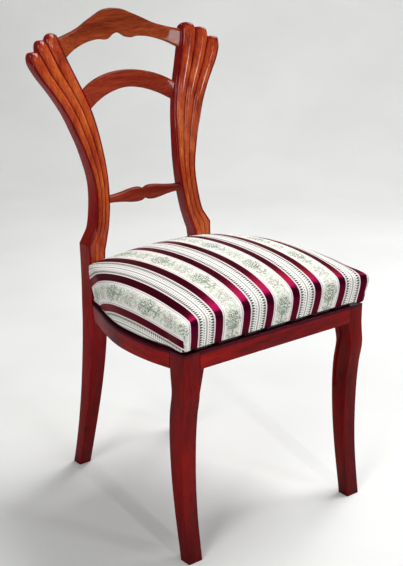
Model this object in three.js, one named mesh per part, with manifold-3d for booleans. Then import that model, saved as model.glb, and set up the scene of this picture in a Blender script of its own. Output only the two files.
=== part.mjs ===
// A side chair with sabre legs, fan-shaped reeded back posts and a drop-in upholstered seat.
// Millimetres, +Z up, the sitter faces -Y. The origin is on the floor, under the middle of the chair.
// Every wooden joint is a real mortise and tenon, and the seat lifts straight out of its rebate.

import * as THREE from 'three';
import { mergeVertices } from 'three/addons/utils/BufferGeometryUtils.js';
import Module from 'manifold-3d';

const wasm = await Module();
wasm.setup();

const { lerp, smoothstep, degToRad } = THREE.MathUtils;

// The chair as a whole
const seatFrontHeight = 387;
const seatFall = 21.5;
const seatDepth = 366;
const frontWidth = 419;
const rearWidth = 296;
const postHeight = 864.5;
const crestRise = 34.5;
const backLeanDepth = 94.5;
const leanPowerShare = 1.6;
const halves = [['left', -1], ['right', 1]];

// Clearances and overruns
const jointGap = 0.3;
const clothGap = 0.4;
const stuffingGap = 1.2;
const cutOverrun = 60;

// Seat rails
const railHeight = 32;
const railThickness = 26;
const ledgeWidth = 13;
const wellDepth = 12;
const railEdgeRadius = 2.5;
const railEdgeSteps = 3;
const railBowShares = [[0, 1], [0.148, 1.06], [0.314, 1.035], [0.498, 0.9], [0.695, 0.59], [0.877, 0.225],
  [1, 0]];
const railBowSteps = 18;

// Front legs
const frontLegWidth = 33;
const frontLegWaistWidth = 29.5;
const frontLegDepth = 41;
const frontFootDepth = 25;
const frontLegSweep = 10;
const frontLegSweepShares = [[0, 1], [0.2, -0.15], [0.37, -0.65], [0.56, -0.65], [0.7, -0.25], [0.8, 0.38],
  [0.87, 0.15], [0.91, 0], [1, 0]];
const frontLegRows = 26;
const frontLegKneeShare = 0.8;
const frontLegHipShare = 0.9;

// Rear legs, which run on up into the back posts
const rearLegWidth = 36;
const rearFootWidth = 26.5;
const rearLegDepth = 36;
const rearFootDepth = 25;
const rearLegSweep = 61.5;
const sweepPowerShare = 1.6;
const rearLegRows = 10;

// Back posts above the seat
const shoulderHeight = 477.5;
const shoulderRise = 25;
const shoulderStep = 17;
const waistInnerHalf = 83;
const waistOuterHalf = 120.5;
const flareInnerHalf = 144;
const flareOuterHalf = 241;
const postThickness = 20;
const postSlimming = 240;
const postWedgeShare = 0.3;
const postTurnDegrees = 10.5;
const postTurnFade = 38;
const postRows = 16;
const bendStartShare = 0.09;
const outerEdgeShares = [[0.237, 0.087], [0.279, 0.045], [0.348, 0.009], [0.392, 0], [0.431, 0.006],
  [0.485, 0.046], [0.568, 0.138], [0.633, 0.234], [0.691, 0.327], [0.756, 0.467], [0.8, 0.58], [0.844, 0.7],
  [0.894, 0.805], [1, 1]];
const innerEdgeShares = [[0.09, 0.475], [0.161, 0.41], [0.212, 0.25], [0.281, 0.12], [0.352, 0.036], [0.442, 0],
  [0.519, 0.024], [0.62, 0.108], [0.692, 0.213], [0.747, 0.333], [0.823, 0.557], [0.897, 0.775], [0.94, 0.888],
  [1, 1]];

// Reeds and the rounded lobes that end them
const reedCount = 3;
const reedFacets = 5;
const reedRiseShare = 0.18;
const reedFadeLength = 40;
const lobeStep = 46;
const lobeDropShares = [[0.1, 0, 0.235], [0.235, 0.22, 0.615], [0.615, 0.63, 1]];
const lobeCrownShare = 0.42;
const lobePowerShare = 2.4;
const lobeRoundRadius = 13;
const lobeRoundSteps = 3;
const lobeRoundShare = 0.96;
const lobeFrontRoundShare = 0.35;

// Rails across the back
const backRailRows = 3;
const backRailEndShare = 1;
const backRailOverrun = 5;
const crestDrop = 86.5;
const crestThickness = 12;
const crestSetBack = 11;
const crestBow = 15;
const crestTopShares = [[0, 0], [0.13, 0.03], [0.27, 0.13], [0.41, 0.235], [0.58, 0.365], [0.8, 0.47],
  [1, 0.54]];
const crestUnderShares = [[0, 0.52], [0.07, 0.555], [0.14, 0.628], [0.21, 0.65], [0.32, 0.628], [0.52, 0.67],
  [0.76, 0.787], [1, 0.96]];
const crestColumns = 36;

// Arched rail
const archBelowPost = 79.5;
const archTopDrop = 32.5;
const archUnderDrop = 34.5;
const archDepth = 31.5;
const archTopPowerShare = 2;
const archUnderPowerShare = 1.7;
const archThickness = 10;
const archSetBack = 11;
const archBow = 11;
const archColumns = 20;

// Lower bar with its two leaves
const barPlaceShare = 0.4196;
const barLeafHeight = 13.5;
const barLeafShares = [[0, 0.66], [0.08, 0.92], [0.2, 1], [0.36, 0.92], [0.56, 0.7], [0.78, 0.53], [1, 0.47]];
const barThickness = 11;
const barSetBack = 7;
const barBow = 1;
const barColumns = 28;

// Tenons
const railTenonThickness = 10;
const railTenonMargin = 3;
const frontTenonLength = 21;
const frontTenonInset = 6;
const sideTenonFrontLength = 17;
const sideTenonRearLength = 20;
const sideTenonInset = 8;
const rearTenonLength = 14;
const rearTenonThickness = 8;
const rearTenonInset = 3;
const backTenonLength = 20;
const backTenonShoulderShare = 0.2;
const backTenonThicknessShare = 0.45;

// Corner blocks and their screws
const blockHeight = 17;
const blockSink = 1.2;
const frontBlockReach = 46;
const rearBlockReach = 50;
const blockScrewShare = 0.42;
const screwShankRadius = 2;
const screwHeadRadius = 4;
const screwHeadHeight = 2.6;
const screwLength = 26;
const screwTip = 5;
const screwSlotWidth = 1.1;
const screwSlotDepth = 1;
const screwPocketClearance = 0.6;
const screwSink = 7;
const screwSides = 12;

// Slip seat: wooden frame, webbing, cloths, stuffing and cover
const slipLift = 0.3;
const coverThickness = 1.5;
const coverClearance = 1.2;
const coverTurnUnder = 14;
const slipFrameHeight = 16;
const slipMemberWidth = 42;
const slipTenonLength = 16;
const slipTenonWidth = 24;
const slipTenonThickness = 6;
const strapWidth = 50;
const strapThickness = 1.5;
const strapCount = 3;
const strapMargin = 10;
const clothThickness = 0.8;
const clothMargin = 6;
const dustClothMargin = 4;
const seatCornerRadius = 10;
const seatCornerSteps = 3;
const seatSideSteps = 7;
const seatEdgeSteps = 4;
const cushionWall = 52;
const cushionDome = 53;
const cushionSwell = 7.5;
const cushionWallShares = [[0, 1], [0.07, 0.82], [0.2, 0.4], [0.5, 0.08], [0.82, 0], [1, 0.14]];
const cushionDomeSteps = 7;
const cushionTopShare = 0.94;
const cushionRearGap = 3.5;

// Places that follow from the sizes
const frontFaceY = -seatDepth / 2;
const rearFaceY = seatDepth / 2;
const seatTilt = Math.atan2(seatFall, seatDepth);
const planDepth = Math.hypot(seatDepth, seatFall);
const crestHeight = postHeight + crestRise;
const archHeight = postHeight - archBelowPost;
const barHeight = lerp(seatFrontHeight, archHeight, barPlaceShare);
const frontHalf = frontWidth / 2;
const rearHalf = rearWidth / 2;
const railBottomHeight = seatFrontHeight - railHeight;
const sweepTopHeight = railBottomHeight - seatFall;
const seatMatrix = new THREE.Matrix4().makeRotationX(-seatTilt).setPosition(0, frontFaceY, seatFrontHeight);

// A smooth curve through a table of pairs: each pair is a place and the value there
function curveThrough(pairs) {
  const slopeAt = (index) => {
    const before = pairs[Math.max(index - 1, 0)];
    const after = pairs[Math.min(index + 1, pairs.length - 1)];
    return (after[1] - before[1]) / (after[0] - before[0]);
  };
  return (place) => {
    const later = pairs.findIndex((pair, index) => index > 0 && pair[0] > place);
    const end = later < 0 ? pairs.length - 1 : later;
    const [x0, y0] = pairs[end - 1];
    const [x1, y1] = pairs[end];
    const span = x1 - x0;
    const t = (place - x0) / span;
    const rise = (2 * t ** 3 - 3 * t ** 2 + 1) * y0 + (3 * t ** 2 - 2 * t ** 3) * y1;
    const lean = (t ** 3 - 2 * t ** 2 + t) * slopeAt(end - 1) + (t ** 3 - t ** 2) * slopeAt(end);
    return rise + lean * span;
  };
}

// Turns the faces of a closed geometry outwards, whichever way its points were listed
function facingOut(geometry) {
  const points = geometry.getAttribute('position');
  const faces = geometry.getIndex().array;
  const corner = (place) => new THREE.Vector3().fromBufferAttribute(points, faces[place]);
  let volume = 0;
  for (let k = 0; k < faces.length; k += 3) {
    volume += corner(k).dot(corner(k + 1).cross(corner(k + 2)));
  }
  if (volume < 0) {
    geometry.setIndex(Array.from(faces).reverse());
  }
  return geometry;
}

// Skins a row of rings. Each ring runs out along one side and back along the other, so that quads from side
// to side close its ends.
function loft(rings) {
  const size = rings[0].length;
  const faces = [];
  const quad = (a, b, c, d) => faces.push(a, b, c, a, c, d);
  rings.slice(1).forEach((unused, ring) => {
    for (let k = 0; k < size; k++) {
      const here = ring * size + k;
      const next = ring * size + ((k + 1) % size);
      quad(here, next, next + size, here + size);
    }
  });
  const last = (rings.length - 1) * size;
  for (let k = 0; k + 1 < size / 2; k++) {
    quad(k, size - 1 - k, size - 2 - k, k + 1);
    quad(last + k, last + k + 1, last + size - 2 - k, last + size - 1 - k);
  }
  const geometry = new THREE.BufferGeometry();
  const places = rings.flat().flatMap((point) => point.toArray());
  geometry.setAttribute('position', new THREE.Float32BufferAttribute(places, 3));
  geometry.setIndex(faces);
  return facingOut(geometry);
}

function solidOf(geometry) {
  const bare = geometry.clone();
  bare.deleteAttribute('normal');
  bare.deleteAttribute('uv');
  const merged = mergeVertices(bare);
  return new wasm.Manifold(new wasm.Mesh({
    numProp: 3,
    vertProperties: new Float32Array(merged.getAttribute('position').array),
    triVerts: new Uint32Array(merged.getIndex().array),
  }));
}

function geometryOf(solid) {
  const mesh = solid.getMesh();
  const geometry = new THREE.BufferGeometry();
  geometry.setAttribute('position', new THREE.BufferAttribute(new Float32Array(mesh.vertProperties), 3));
  geometry.setIndex(new THREE.BufferAttribute(new Uint32Array(mesh.triVerts), 1));
  geometry.computeVertexNormals();
  return geometry;
}

// A plan outline, made solid between two levels
function plate(outline, low, high) {
  const settings = { depth: high - low, bevelEnabled: false };
  return new THREE.ExtrudeGeometry(new THREE.Shape(outline), settings).translate(0, 0, low);
}

// A block between two opposite corners
function block(low, high) {
  const size = high.clone().sub(low);
  const middle = low.clone().add(high).divideScalar(2);
  return new THREE.BoxGeometry(size.x, size.y, size.z).translate(middle.x, middle.y, middle.z);
}

// A section in depth and height, made solid along X over half the given length to each side
function beam(section, length) {
  const geometry = new THREE.ExtrudeGeometry(new THREE.Shape(section), { depth: length, bevelEnabled: false });
  const turn = new THREE.Matrix4().makeBasis(
    new THREE.Vector3(0, 1, 0),
    new THREE.Vector3(0, 0, 1),
    new THREE.Vector3(1, 0, 0),
  );
  return geometry.translate(0, 0, -length / 2).applyMatrix4(turn);
}

// A solid drawn on the seat's own sloping plane, set into the chair
const inSeat = (geometry) => solidOf(geometry.applyMatrix4(seatMatrix));

// A tenon and its mortise come from one block, and the mortise is larger by the joint gap
function tenonBlock(low, high, spare) {
  const extra = new THREE.Vector3(spare, spare, spare);
  return solidOf(block(low.clone().sub(extra), high.clone().add(extra)));
}

// Front edge of the rear leg and post, seen from the side
function postFaceY(height) {
  const below = Math.max(1 - height / sweepTopHeight, 0);
  const above = Math.max((height - seatFrontHeight) / (crestHeight - seatFrontHeight), 0);
  return rearFaceY + rearLegSweep * below ** sweepPowerShare + backLeanDepth * above ** leanPowerShare;
}

function postDepth(height) {
  const leg = lerp(rearFootDepth, rearLegDepth, smoothstep(height, 0, sweepTopHeight));
  const slimHeight = shoulderHeight + shoulderRise + postSlimming;
  return lerp(leg, postThickness, smoothstep(height, sweepTopHeight, slimHeight));
}

const outerEdge = curveThrough(outerEdgeShares);
const innerEdge = curveThrough(innerEdgeShares);
const backShare = (height) => (height - seatFrontHeight) / (postHeight - seatFrontHeight);

function postOuterX(height) {
  if (height <= shoulderHeight) {
    return rearHalf;
  }
  const top = shoulderHeight + shoulderRise;
  if (height <= top) {
    return lerp(rearHalf, rearHalf - shoulderStep, (height - shoulderHeight) / shoulderRise);
  }
  return lerp(waistOuterHalf, flareOuterHalf, outerEdge(backShare(height)));
}

function postInnerX(height) {
  if (backShare(height) < bendStartShare) {
    const width = lerp(rearFootWidth, rearLegWidth, smoothstep(height, 0, sweepTopHeight));
    return rearHalf - width;
  }
  return lerp(waistInnerHalf, flareInnerHalf, innerEdge(backShare(height)));
}

// Above the shoulder each post turns towards the sitter, so that its outer edge stands further forward.
// It is also a little thicker there than at its inner edge.
const postTurn = (height) => smoothstep(height, shoulderHeight - postTurnFade, shoulderHeight + postTurnFade);

function postFrontY(share, height) {
  const width = postOuterX(height) - postInnerX(height);
  return postFaceY(height) - postTurn(height) * Math.tan(degToRad(postTurnDegrees)) * width * (share - 1 / 2);
}

function postBackY(share, height) {
  const wedge = 1 + postTurn(height) * postWedgeShare * (share - 1 / 2);
  return postFrontY(share, height) + postDepth(height) * wedge;
}

// How far a reed stands out of the post's front, and how high the lobe that ends it reaches
function reedRise(share, height) {
  const width = (postOuterX(height) - postInnerX(height)) / reedCount;
  const across = (share * reedCount) % 1;
  const fade = smoothstep(height, shoulderHeight, shoulderHeight + reedFadeLength);
  return width * reedRiseShare * fade * Math.sqrt(1 - (2 * across - 1) ** 2);
}

function lobeTop(share) {
  const reed = Math.min(Math.floor(share * reedCount), reedCount - 1);
  const across = share * reedCount - reed;
  const [inner, crown, outer] = lobeDropShares[reed];
  const drop = across < lobeCrownShare
    ? lerp(crown, inner, (1 - across / lobeCrownShare) ** lobePowerShare)
    : lerp(crown, outer, ((across - lobeCrownShare) / (1 - lobeCrownShare)) ** lobePowerShare);
  return postHeight - lobeStep * drop;
}

// One ring of the rear leg and post: the reeded front from the inner edge outwards, then the flat back
function postRing(side, heightOf, rounding) {
  const columns = reedCount * reedFacets;
  const shares = Array.from({ length: columns + 1 }, (unused, k) => k / columns);
  const setBack = lobeRoundRadius * (1 - Math.sqrt(1 - rounding ** 2));
  const point = (share, behind) => {
    const height = heightOf(share);
    const x = lerp(postInnerX(height), postOuterX(height), share);
    const front = postFrontY(share, height) - reedRise(share, height) + setBack * lobeFrontRoundShare;
    const back = postBackY(share, height) - setBack;
    return new THREE.Vector3(side * x, behind ? back : front, height);
  };
  const front = shares.map((share) => point(share, false));
  const back = shares.reverse().map((share) => point(share, true));
  return [...front, ...back];
}

function postBlank(side) {
  const rings = [];
  for (let row = 0; row <= rearLegRows; row++) {
    rings.push(postRing(side, () => shoulderHeight * row / rearLegRows, 0));
  }
  const start = shoulderHeight + shoulderRise;
  for (let row = 0; row <= postRows; row++) {
    rings.push(postRing(side, (share) => lerp(start, lobeTop(share) - lobeRoundRadius, row / postRows), 0));
  }
  for (let row = 1; row <= lobeRoundSteps; row++) {
    const rise = Math.sin((Math.PI / 2) * row / lobeRoundSteps);
    rings.push(postRing(side, (share) => lobeTop(share) - lobeRoundRadius * (1 - rise), rise * lobeRoundShare));
  }
  return solidOf(loft(rings));
}

function rearPost(side) {
  let post = postBlank(side).subtract(sideTenon(side, 'rear', jointGap));
  post = post.subtract(rearTenon(side, jointGap));
  [crest, arch, bar].forEach((rail) => {
    post = post.subtract(backTenon(rail, side, jointGap));
  });
  return geometryOf(post);
}

// The three rails that join the posts: half heights of each are curves from the middle out to the post
const crestTop = curveThrough(crestTopShares);
const crestUnder = curveThrough(crestUnderShares);
const barLeaf = curveThrough(barLeafShares);

const crest = {
  top: (share) => crestHeight - crestDrop * crestTop(share),
  under: (share) => crestHeight - crestDrop * crestUnder(share),
  thickness: crestThickness,
  setBack: crestSetBack,
  bow: crestBow,
  columns: crestColumns,
};
const arch = {
  top: (share) => archHeight - archTopDrop * share ** archTopPowerShare,
  under: (share) => archHeight - archDepth - archUnderDrop * share ** archUnderPowerShare,
  thickness: archThickness,
  setBack: archSetBack,
  bow: archBow,
  columns: archColumns,
};
const bar = {
  top: (share) => barHeight + barLeafHeight * barLeaf(share),
  under: (share) => barHeight - barLeafHeight * barLeaf(share),
  thickness: barThickness,
  setBack: barSetBack,
  bow: barBow,
  columns: barColumns,
};

// The tenon at one end of a back rail, drawn from inside the rail to its end inside the post
function backTenon(rail, side, spare) {
  const under = rail.under(backRailEndShare);
  const top = rail.top(backRailEndShare);
  const shoulder = (top - under) * backTenonShoulderShare;
  const low = under + shoulder - spare;
  const high = top - shoulder + spare;
  const thickness = rail.thickness * backTenonThicknessShare;
  const ring = (reach) => [low, high].flatMap((height) => {
    const front = postFaceY(height) + rail.setBack + (rail.thickness - thickness) / 2;
    const x = side * (postInnerX(height) + reach);
    return [
      new THREE.Vector3(x, front - spare, height),
      new THREE.Vector3(x, front + thickness + spare, height),
    ];
  });
  const square = ([a, b, c, d]) => [a, b, d, c];
  return solidOf(loft([square(ring(-backTenonLength / 2)), square(ring(backTenonLength + spare))]));
}

// A back rail is drawn a little too long and its ends are scribed to the posts
function backRail(rail) {
  const rings = [];
  for (let column = 0; column <= rail.columns; column++) {
    const along = 2 * column / rail.columns - 1;
    const share = Math.abs(along);
    const point = (height, behind) => new THREE.Vector3(
      along * (postInnerX(height) + backRailOverrun),
      postFaceY(height) + rail.setBack + rail.bow * (1 - along ** 2) + behind,
      height,
    );
    const heights = Array.from({ length: backRailRows + 1 }, (unused, k) => (
      lerp(rail.under(share), rail.top(share), k / backRailRows)
    ));
    const front = heights.map((height) => point(height, 0));
    const back = heights.reverse().map((height) => point(height, rail.thickness));
    rings.push([...front, ...back]);
  }
  let board = solidOf(loft(rings));
  halves.forEach(([, side]) => {
    board = board.subtract(postBlank(side).translate([-side * jointGap, 0, 0]));
    board = board.add(backTenon(rail, side, 0));
  });
  return geometryOf(board);
}

// Outer face of the side rails in plan; depth runs along the seat's slope from the front rail's face
const railBow = curveThrough(railBowShares);

function railOuterX(depth) {
  const share = (depth - frontLegDepth) / (planDepth - frontLegDepth);
  return share < 0 ? frontHalf : lerp(rearHalf, frontHalf, railBow(share));
}

// The tenons at the ends of the side rails, one into a front leg and one into a rear leg
function sideTenon(side, end, spare) {
  const atFront = end === 'front';
  const faceY = atFront ? frontFaceY + frontLegDepth : rearFaceY;
  const outer = atFront ? frontHalf : rearHalf;
  const nearX = side * (outer - sideTenonInset);
  const farX = side * (outer - sideTenonInset - railTenonThickness);
  const fall = seatFall * (faceY - frontFaceY) / seatDepth;
  const low = seatFrontHeight - fall - railHeight + railTenonMargin;
  const high = seatFrontHeight - fall - wellDepth - railTenonMargin;
  const inside = atFront ? faceY + sideTenonFrontLength : faceY - sideTenonRearLength;
  const tip = atFront ? faceY - sideTenonFrontLength : faceY + sideTenonRearLength;
  return tenonBlock(
    new THREE.Vector3(Math.min(nearX, farX), Math.min(inside, tip), low),
    new THREE.Vector3(Math.max(nearX, farX), Math.max(inside, tip), high),
    spare,
  );
}

function frontTenon(side, spare) {
  const root = side * (frontHalf - frontLegWidth - frontTenonLength / 2);
  const tip = side * (frontHalf - frontLegWidth + frontTenonLength);
  return tenonBlock(
    new THREE.Vector3(Math.min(root, tip), frontFaceY + frontTenonInset, railBottomHeight + railTenonMargin),
    new THREE.Vector3(
      Math.max(root, tip),
      frontFaceY + frontTenonInset + railTenonThickness,
      seatFrontHeight - wellDepth - railTenonMargin,
    ),
    spare,
  );
}

function rearTenon(side, spare) {
  const root = side * (rearHalf - rearLegWidth - rearTenonLength / 2);
  const tip = side * (rearHalf - rearLegWidth + rearTenonLength);
  return tenonBlock(
    new THREE.Vector3(Math.min(root, tip), rearFaceY + rearTenonInset, sweepTopHeight + railTenonMargin),
    new THREE.Vector3(
      Math.max(root, tip),
      rearFaceY + rearTenonInset + rearTenonThickness,
      seatFrontHeight - seatFall - wellDepth - railTenonMargin,
    ),
    spare,
  );
}

// Seat outline at a given inset from the rails' outer faces, as a closed loop of matching points.
// The loop runs out along the right half and back along the left, so lofted rings close well.
function seatOutline(inset, rearInset) {
  const frontY = inset;
  const rearY = planDepth - rearInset;
  const frontTurn = frontHalf - inset - seatCornerRadius;
  const rearTurn = railOuterX(rearY - seatCornerRadius) - inset - seatCornerRadius;
  const right = [];
  for (let k = 0; k <= seatEdgeSteps; k++) {
    right.push([frontTurn * k / seatEdgeSteps, frontY]);
  }
  for (let k = 1; k <= seatCornerSteps; k++) {
    const angle = (Math.PI / 2) * k / seatCornerSteps;
    const reach = seatCornerRadius * (1 - Math.cos(angle));
    right.push([frontTurn + seatCornerRadius * Math.sin(angle), frontY + reach]);
  }
  for (let k = 1; k <= seatSideSteps; k++) {
    const y = lerp(frontY + seatCornerRadius, rearY - seatCornerRadius, k / seatSideSteps);
    right.push([railOuterX(y) - inset, y]);
  }
  for (let k = 1; k <= seatCornerSteps; k++) {
    const angle = (Math.PI / 2) * k / seatCornerSteps;
    const reach = seatCornerRadius * (1 - Math.sin(angle));
    right.push([rearTurn + seatCornerRadius * Math.cos(angle), rearY - reach]);
  }
  for (let k = 1; k <= seatEdgeSteps; k++) {
    right.push([rearTurn * (1 - k / seatEdgeSteps), rearY]);
  }
  const left = right.slice(1, -1).reverse().map(([x, y]) => [-x, y]);
  return [...right, ...left].map(([x, y]) => new THREE.Vector2(x, y));
}

// The rebate that the drop-in seat sits in, and everything above the seat plane
const seatWell = () => inSeat(plate(seatOutline(ledgeWidth, 0), -wellDepth, cutOverrun));
const aboveSeat = () => inSeat(block(
  new THREE.Vector3(-frontWidth, -cutOverrun, 0),
  new THREE.Vector3(frontWidth, planDepth, cutOverrun),
));

// The part of the chair between two upright planes across it
function betweenDepths(nearY, farY) {
  return solidOf(block(
    new THREE.Vector3(-frontWidth, nearY, 0),
    new THREE.Vector3(frontWidth, farY, postHeight),
  ));
}

function roundedTopEdge() {
  const points = [];
  for (let k = 0; k <= railEdgeSteps; k++) {
    const angle = (Math.PI / 2) * k / railEdgeSteps;
    points.push(new THREE.Vector2(
      railEdgeRadius * (1 - Math.cos(angle)),
      -railEdgeRadius * (1 - Math.sin(angle)),
    ));
  }
  return points;
}

function frontRail() {
  const section = [
    new THREE.Vector2(0, -railHeight),
    ...roundedTopEdge(),
    new THREE.Vector2(ledgeWidth, 0),
    new THREE.Vector2(ledgeWidth, -wellDepth),
    new THREE.Vector2(railThickness, -wellDepth),
    new THREE.Vector2(railThickness, -railHeight),
  ];
  const length = 2 * (frontHalf - frontLegWidth - jointGap);
  const rail = inSeat(beam(section, length)).intersect(betweenDepths(frontFaceY, rearFaceY));
  return geometryOf(rail.add(frontTenon(-1, 0)).add(frontTenon(1, 0)).subtract(blockScrewHoles('front_rail')));
}

function rearRail() {
  const section = [
    new THREE.Vector2(planDepth + ledgeWidth, -railHeight),
    new THREE.Vector2(planDepth + ledgeWidth, 0),
    new THREE.Vector2(planDepth, 0),
    new THREE.Vector2(planDepth, -wellDepth),
    new THREE.Vector2(planDepth + ledgeWidth - railThickness, -wellDepth),
    new THREE.Vector2(planDepth + ledgeWidth - railThickness, -railHeight),
  ];
  const length = 2 * (rearHalf - rearLegWidth - jointGap);
  const rail = inSeat(beam(section, length));
  return geometryOf(rail.add(rearTenon(-1, 0)).add(rearTenon(1, 0)).subtract(blockScrewHoles('rear_rail')));
}

// A strip of the side rail's plan, from its outer face inwards
function sideStrip(side, width) {
  const depths = Array.from({ length: railBowSteps + 1 }, (unused, k) => (
    lerp(frontLegDepth - railThickness, planDepth + railThickness, k / railBowSteps)
  ));
  const outer = depths.map((depth) => new THREE.Vector2(side * railOuterX(depth), depth));
  const inner = depths.map((depth) => new THREE.Vector2(side * (railOuterX(depth) - width), depth));
  return [...outer, ...inner.reverse()];
}

function sideRail(side) {
  const ledge = inSeat(plate(sideStrip(side, ledgeWidth), -railHeight, 0));
  const shelf = inSeat(plate(sideStrip(side, railThickness), -railHeight, -wellDepth));
  const span = betweenDepths(frontFaceY + frontLegDepth + jointGap, rearFaceY - jointGap);
  const name = side < 0 ? 'side_rail_left' : 'side_rail_right';
  const rail = ledge.add(shelf).intersect(span);
  const jointed = rail.add(sideTenon(side, 'front', 0)).add(sideTenon(side, 'rear', 0));
  return geometryOf(jointed.subtract(blockScrewHoles(name)));
}

// Front leg: its front edge sweeps in below the rail and out again at the foot
const frontSweep = curveThrough(frontLegSweepShares);

function frontLeg(side) {
  const rings = [];
  for (let row = 0; row <= frontLegRows; row++) {
    const share = row / frontLegRows;
    const height = seatFrontHeight * share;
    const front = frontFaceY - frontLegSweep * frontSweep(share);
    const depth = lerp(frontFootDepth, frontLegDepth, smoothstep(share, 0, frontLegKneeShare));
    const back = share < frontLegHipShare ? front + depth : frontFaceY + frontLegDepth;
    const slim = smoothstep(share, frontLegKneeShare, frontLegHipShare);
    const outer = side * frontHalf;
    const inner = side * (frontHalf - lerp(frontLegWaistWidth, frontLegWidth, slim));
    rings.push([
      new THREE.Vector3(outer, front, height),
      new THREE.Vector3(inner, front, height),
      new THREE.Vector3(inner, back, height),
      new THREE.Vector3(outer, back, height),
    ]);
  }
  const leg = solidOf(loft(rings)).subtract(aboveSeat()).subtract(seatWell());
  return geometryOf(leg.subtract(sideTenon(side, 'front', jointGap)).subtract(frontTenon(side, jointGap)));
}

// Corner blocks fill the angles under the seat. Each leans on two rails and is screwed to both.
// Every entry gives the block's plan corners and, for each of its screws, the rail, the place and the way
// it points.
function cornerBlocks() {
  const frontY = railThickness + jointGap;
  const rearY = planDepth + ledgeWidth - railThickness - jointGap;
  const sideX = (depth) => railOuterX(depth) - railThickness / 2;
  const faceX = (depth) => railOuterX(depth) - railThickness - jointGap;
  const legX = frontHalf - frontLegWidth - jointGap;
  const legY = frontLegDepth + jointGap + railHeight * Math.tan(seatTilt);
  const blocks = [];
  halves.forEach(([name, side]) => {
    const frontPlan = [
      [legX - frontBlockReach, frontY],
      [legX, frontY],
      [legX, legY],
      [sideX(legY), legY],
      [sideX(legY + frontBlockReach), legY + frontBlockReach],
    ];
    const rearPlan = [
      [faceX(rearY) - rearBlockReach, rearY],
      [sideX(rearY), rearY],
      [sideX(rearY - rearBlockReach), rearY - rearBlockReach],
    ];
    blocks.push({
      node: `corner_block_front_${name}`,
      side,
      plan: frontPlan.map(([x, y]) => new THREE.Vector2(side * x, y)),
      screws: [
        {
          rail: 'front_rail',
          x: side * (legX - frontBlockReach * blockScrewShare),
          y: frontY,
          turn: [0, -1],
        },
        {
          rail: `side_rail_${name}`,
          x: side * faceX(legY + frontBlockReach * (1 - blockScrewShare)),
          y: legY + frontBlockReach * (1 - blockScrewShare),
          turn: [side, 0],
        },
      ],
    });
    blocks.push({
      node: `corner_block_rear_${name}`,
      side,
      plan: rearPlan.map(([x, y]) => new THREE.Vector2(side * x, y)),
      screws: [
        {
          rail: 'rear_rail',
          x: side * (faceX(rearY) - rearBlockReach * (1 - blockScrewShare)),
          y: rearY,
          turn: [0, 1],
        },
        {
          rail: `side_rail_${name}`,
          x: side * faceX(rearY - rearBlockReach * (1 - blockScrewShare)),
          y: rearY - rearBlockReach * (1 - blockScrewShare),
          turn: [side, 0],
        },
      ],
    });
  });
  return blocks;
}

const blockTop = -wellDepth - blockSink;
const blockMiddle = blockTop - blockHeight / 2;

// A solid of revolution for a screw or its hole, laid on the seat plane at a screw's place
function alongScrew(screw, profile) {
  const geometry = new THREE.LatheGeometry(profile, screwSides);
  const axis = new THREE.Vector3(screw.turn[0], screw.turn[1], 0);
  const turn = new THREE.Quaternion().setFromUnitVectors(new THREE.Vector3(0, 1, 0), axis);
  return geometry.applyQuaternion(turn).translate(screw.x, screw.y, blockMiddle);
}

// The screw's head lies in a pocket inside the block, its tip in the rail
function screwProfile(spare) {
  const head = -screwSink;
  const neck = head + screwHeadHeight;
  const tip = screwLength - screwSink;
  return [
    new THREE.Vector2(0, head - spare),
    new THREE.Vector2(screwHeadRadius + spare, head - spare),
    new THREE.Vector2(screwShankRadius + spare, neck),
    new THREE.Vector2(screwShankRadius + spare, tip - screwTip),
    new THREE.Vector2(0, tip + spare),
  ];
}

function pocketProfile() {
  const radius = screwHeadRadius + screwPocketClearance;
  return [
    new THREE.Vector2(0, -cutOverrun),
    new THREE.Vector2(radius, -cutOverrun),
    new THREE.Vector2(radius, -screwSink),
    new THREE.Vector2(0, -screwSink),
  ];
}

function blockScrewHoles(rail) {
  const screws = cornerBlocks().flatMap((corner) => corner.screws).filter((screw) => screw.rail === rail);
  return screws
    .map((screw) => inSeat(alongScrew(screw, screwProfile(jointGap))))
    .reduce((all, hole) => all.add(hole));
}

function cornerBlock(corner) {
  let solid = solidOf(plate(corner.plan, blockTop - blockHeight, blockTop));
  const railSpace = plate(sideStrip(corner.side, railThickness + jointGap), -cutOverrun, cutOverrun);
  solid = solid.subtract(solidOf(railSpace));
  corner.screws.forEach((screw) => {
    solid = solid.subtract(solidOf(alongScrew(screw, screwProfile(jointGap))));
    solid = solid.subtract(solidOf(alongScrew(screw, pocketProfile())));
  });
  return geometryOf(solid);
}

function blockScrew(screw) {
  const slot = block(
    new THREE.Vector3(-screwHeadRadius - cutOverrun, -screwSink - cutOverrun, -screwSlotWidth / 2),
    new THREE.Vector3(screwHeadRadius + cutOverrun, -screwSink + screwSlotDepth, screwSlotWidth / 2),
  );
  const axis = new THREE.Vector3(screw.turn[0], screw.turn[1], 0);
  const turn = new THREE.Quaternion().setFromUnitVectors(new THREE.Vector3(0, 1, 0), axis);
  slot.applyQuaternion(turn).translate(screw.x, screw.y, blockMiddle);
  return geometryOf(solidOf(alongScrew(screw, screwProfile(0))).subtract(solidOf(slot)));
}

// Levels of the slip seat, measured up from the seat plane
const coverBottom = -wellDepth + slipLift;
const frameBottom = coverBottom + coverThickness + jointGap;
const frameTop = frameBottom + slipFrameHeight;
const crossStrapBottom = frameTop + jointGap;
const longStrapBottom = crossStrapBottom + strapThickness + jointGap;
const clothBottom = longStrapBottom + strapThickness + jointGap;
const stuffingBottom = clothBottom + clothThickness + jointGap;
const coverInset = ledgeWidth + coverClearance;
const frameInset = coverInset + coverThickness + jointGap;
const frameRearInset = cushionRearGap + coverThickness + jointGap;

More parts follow.
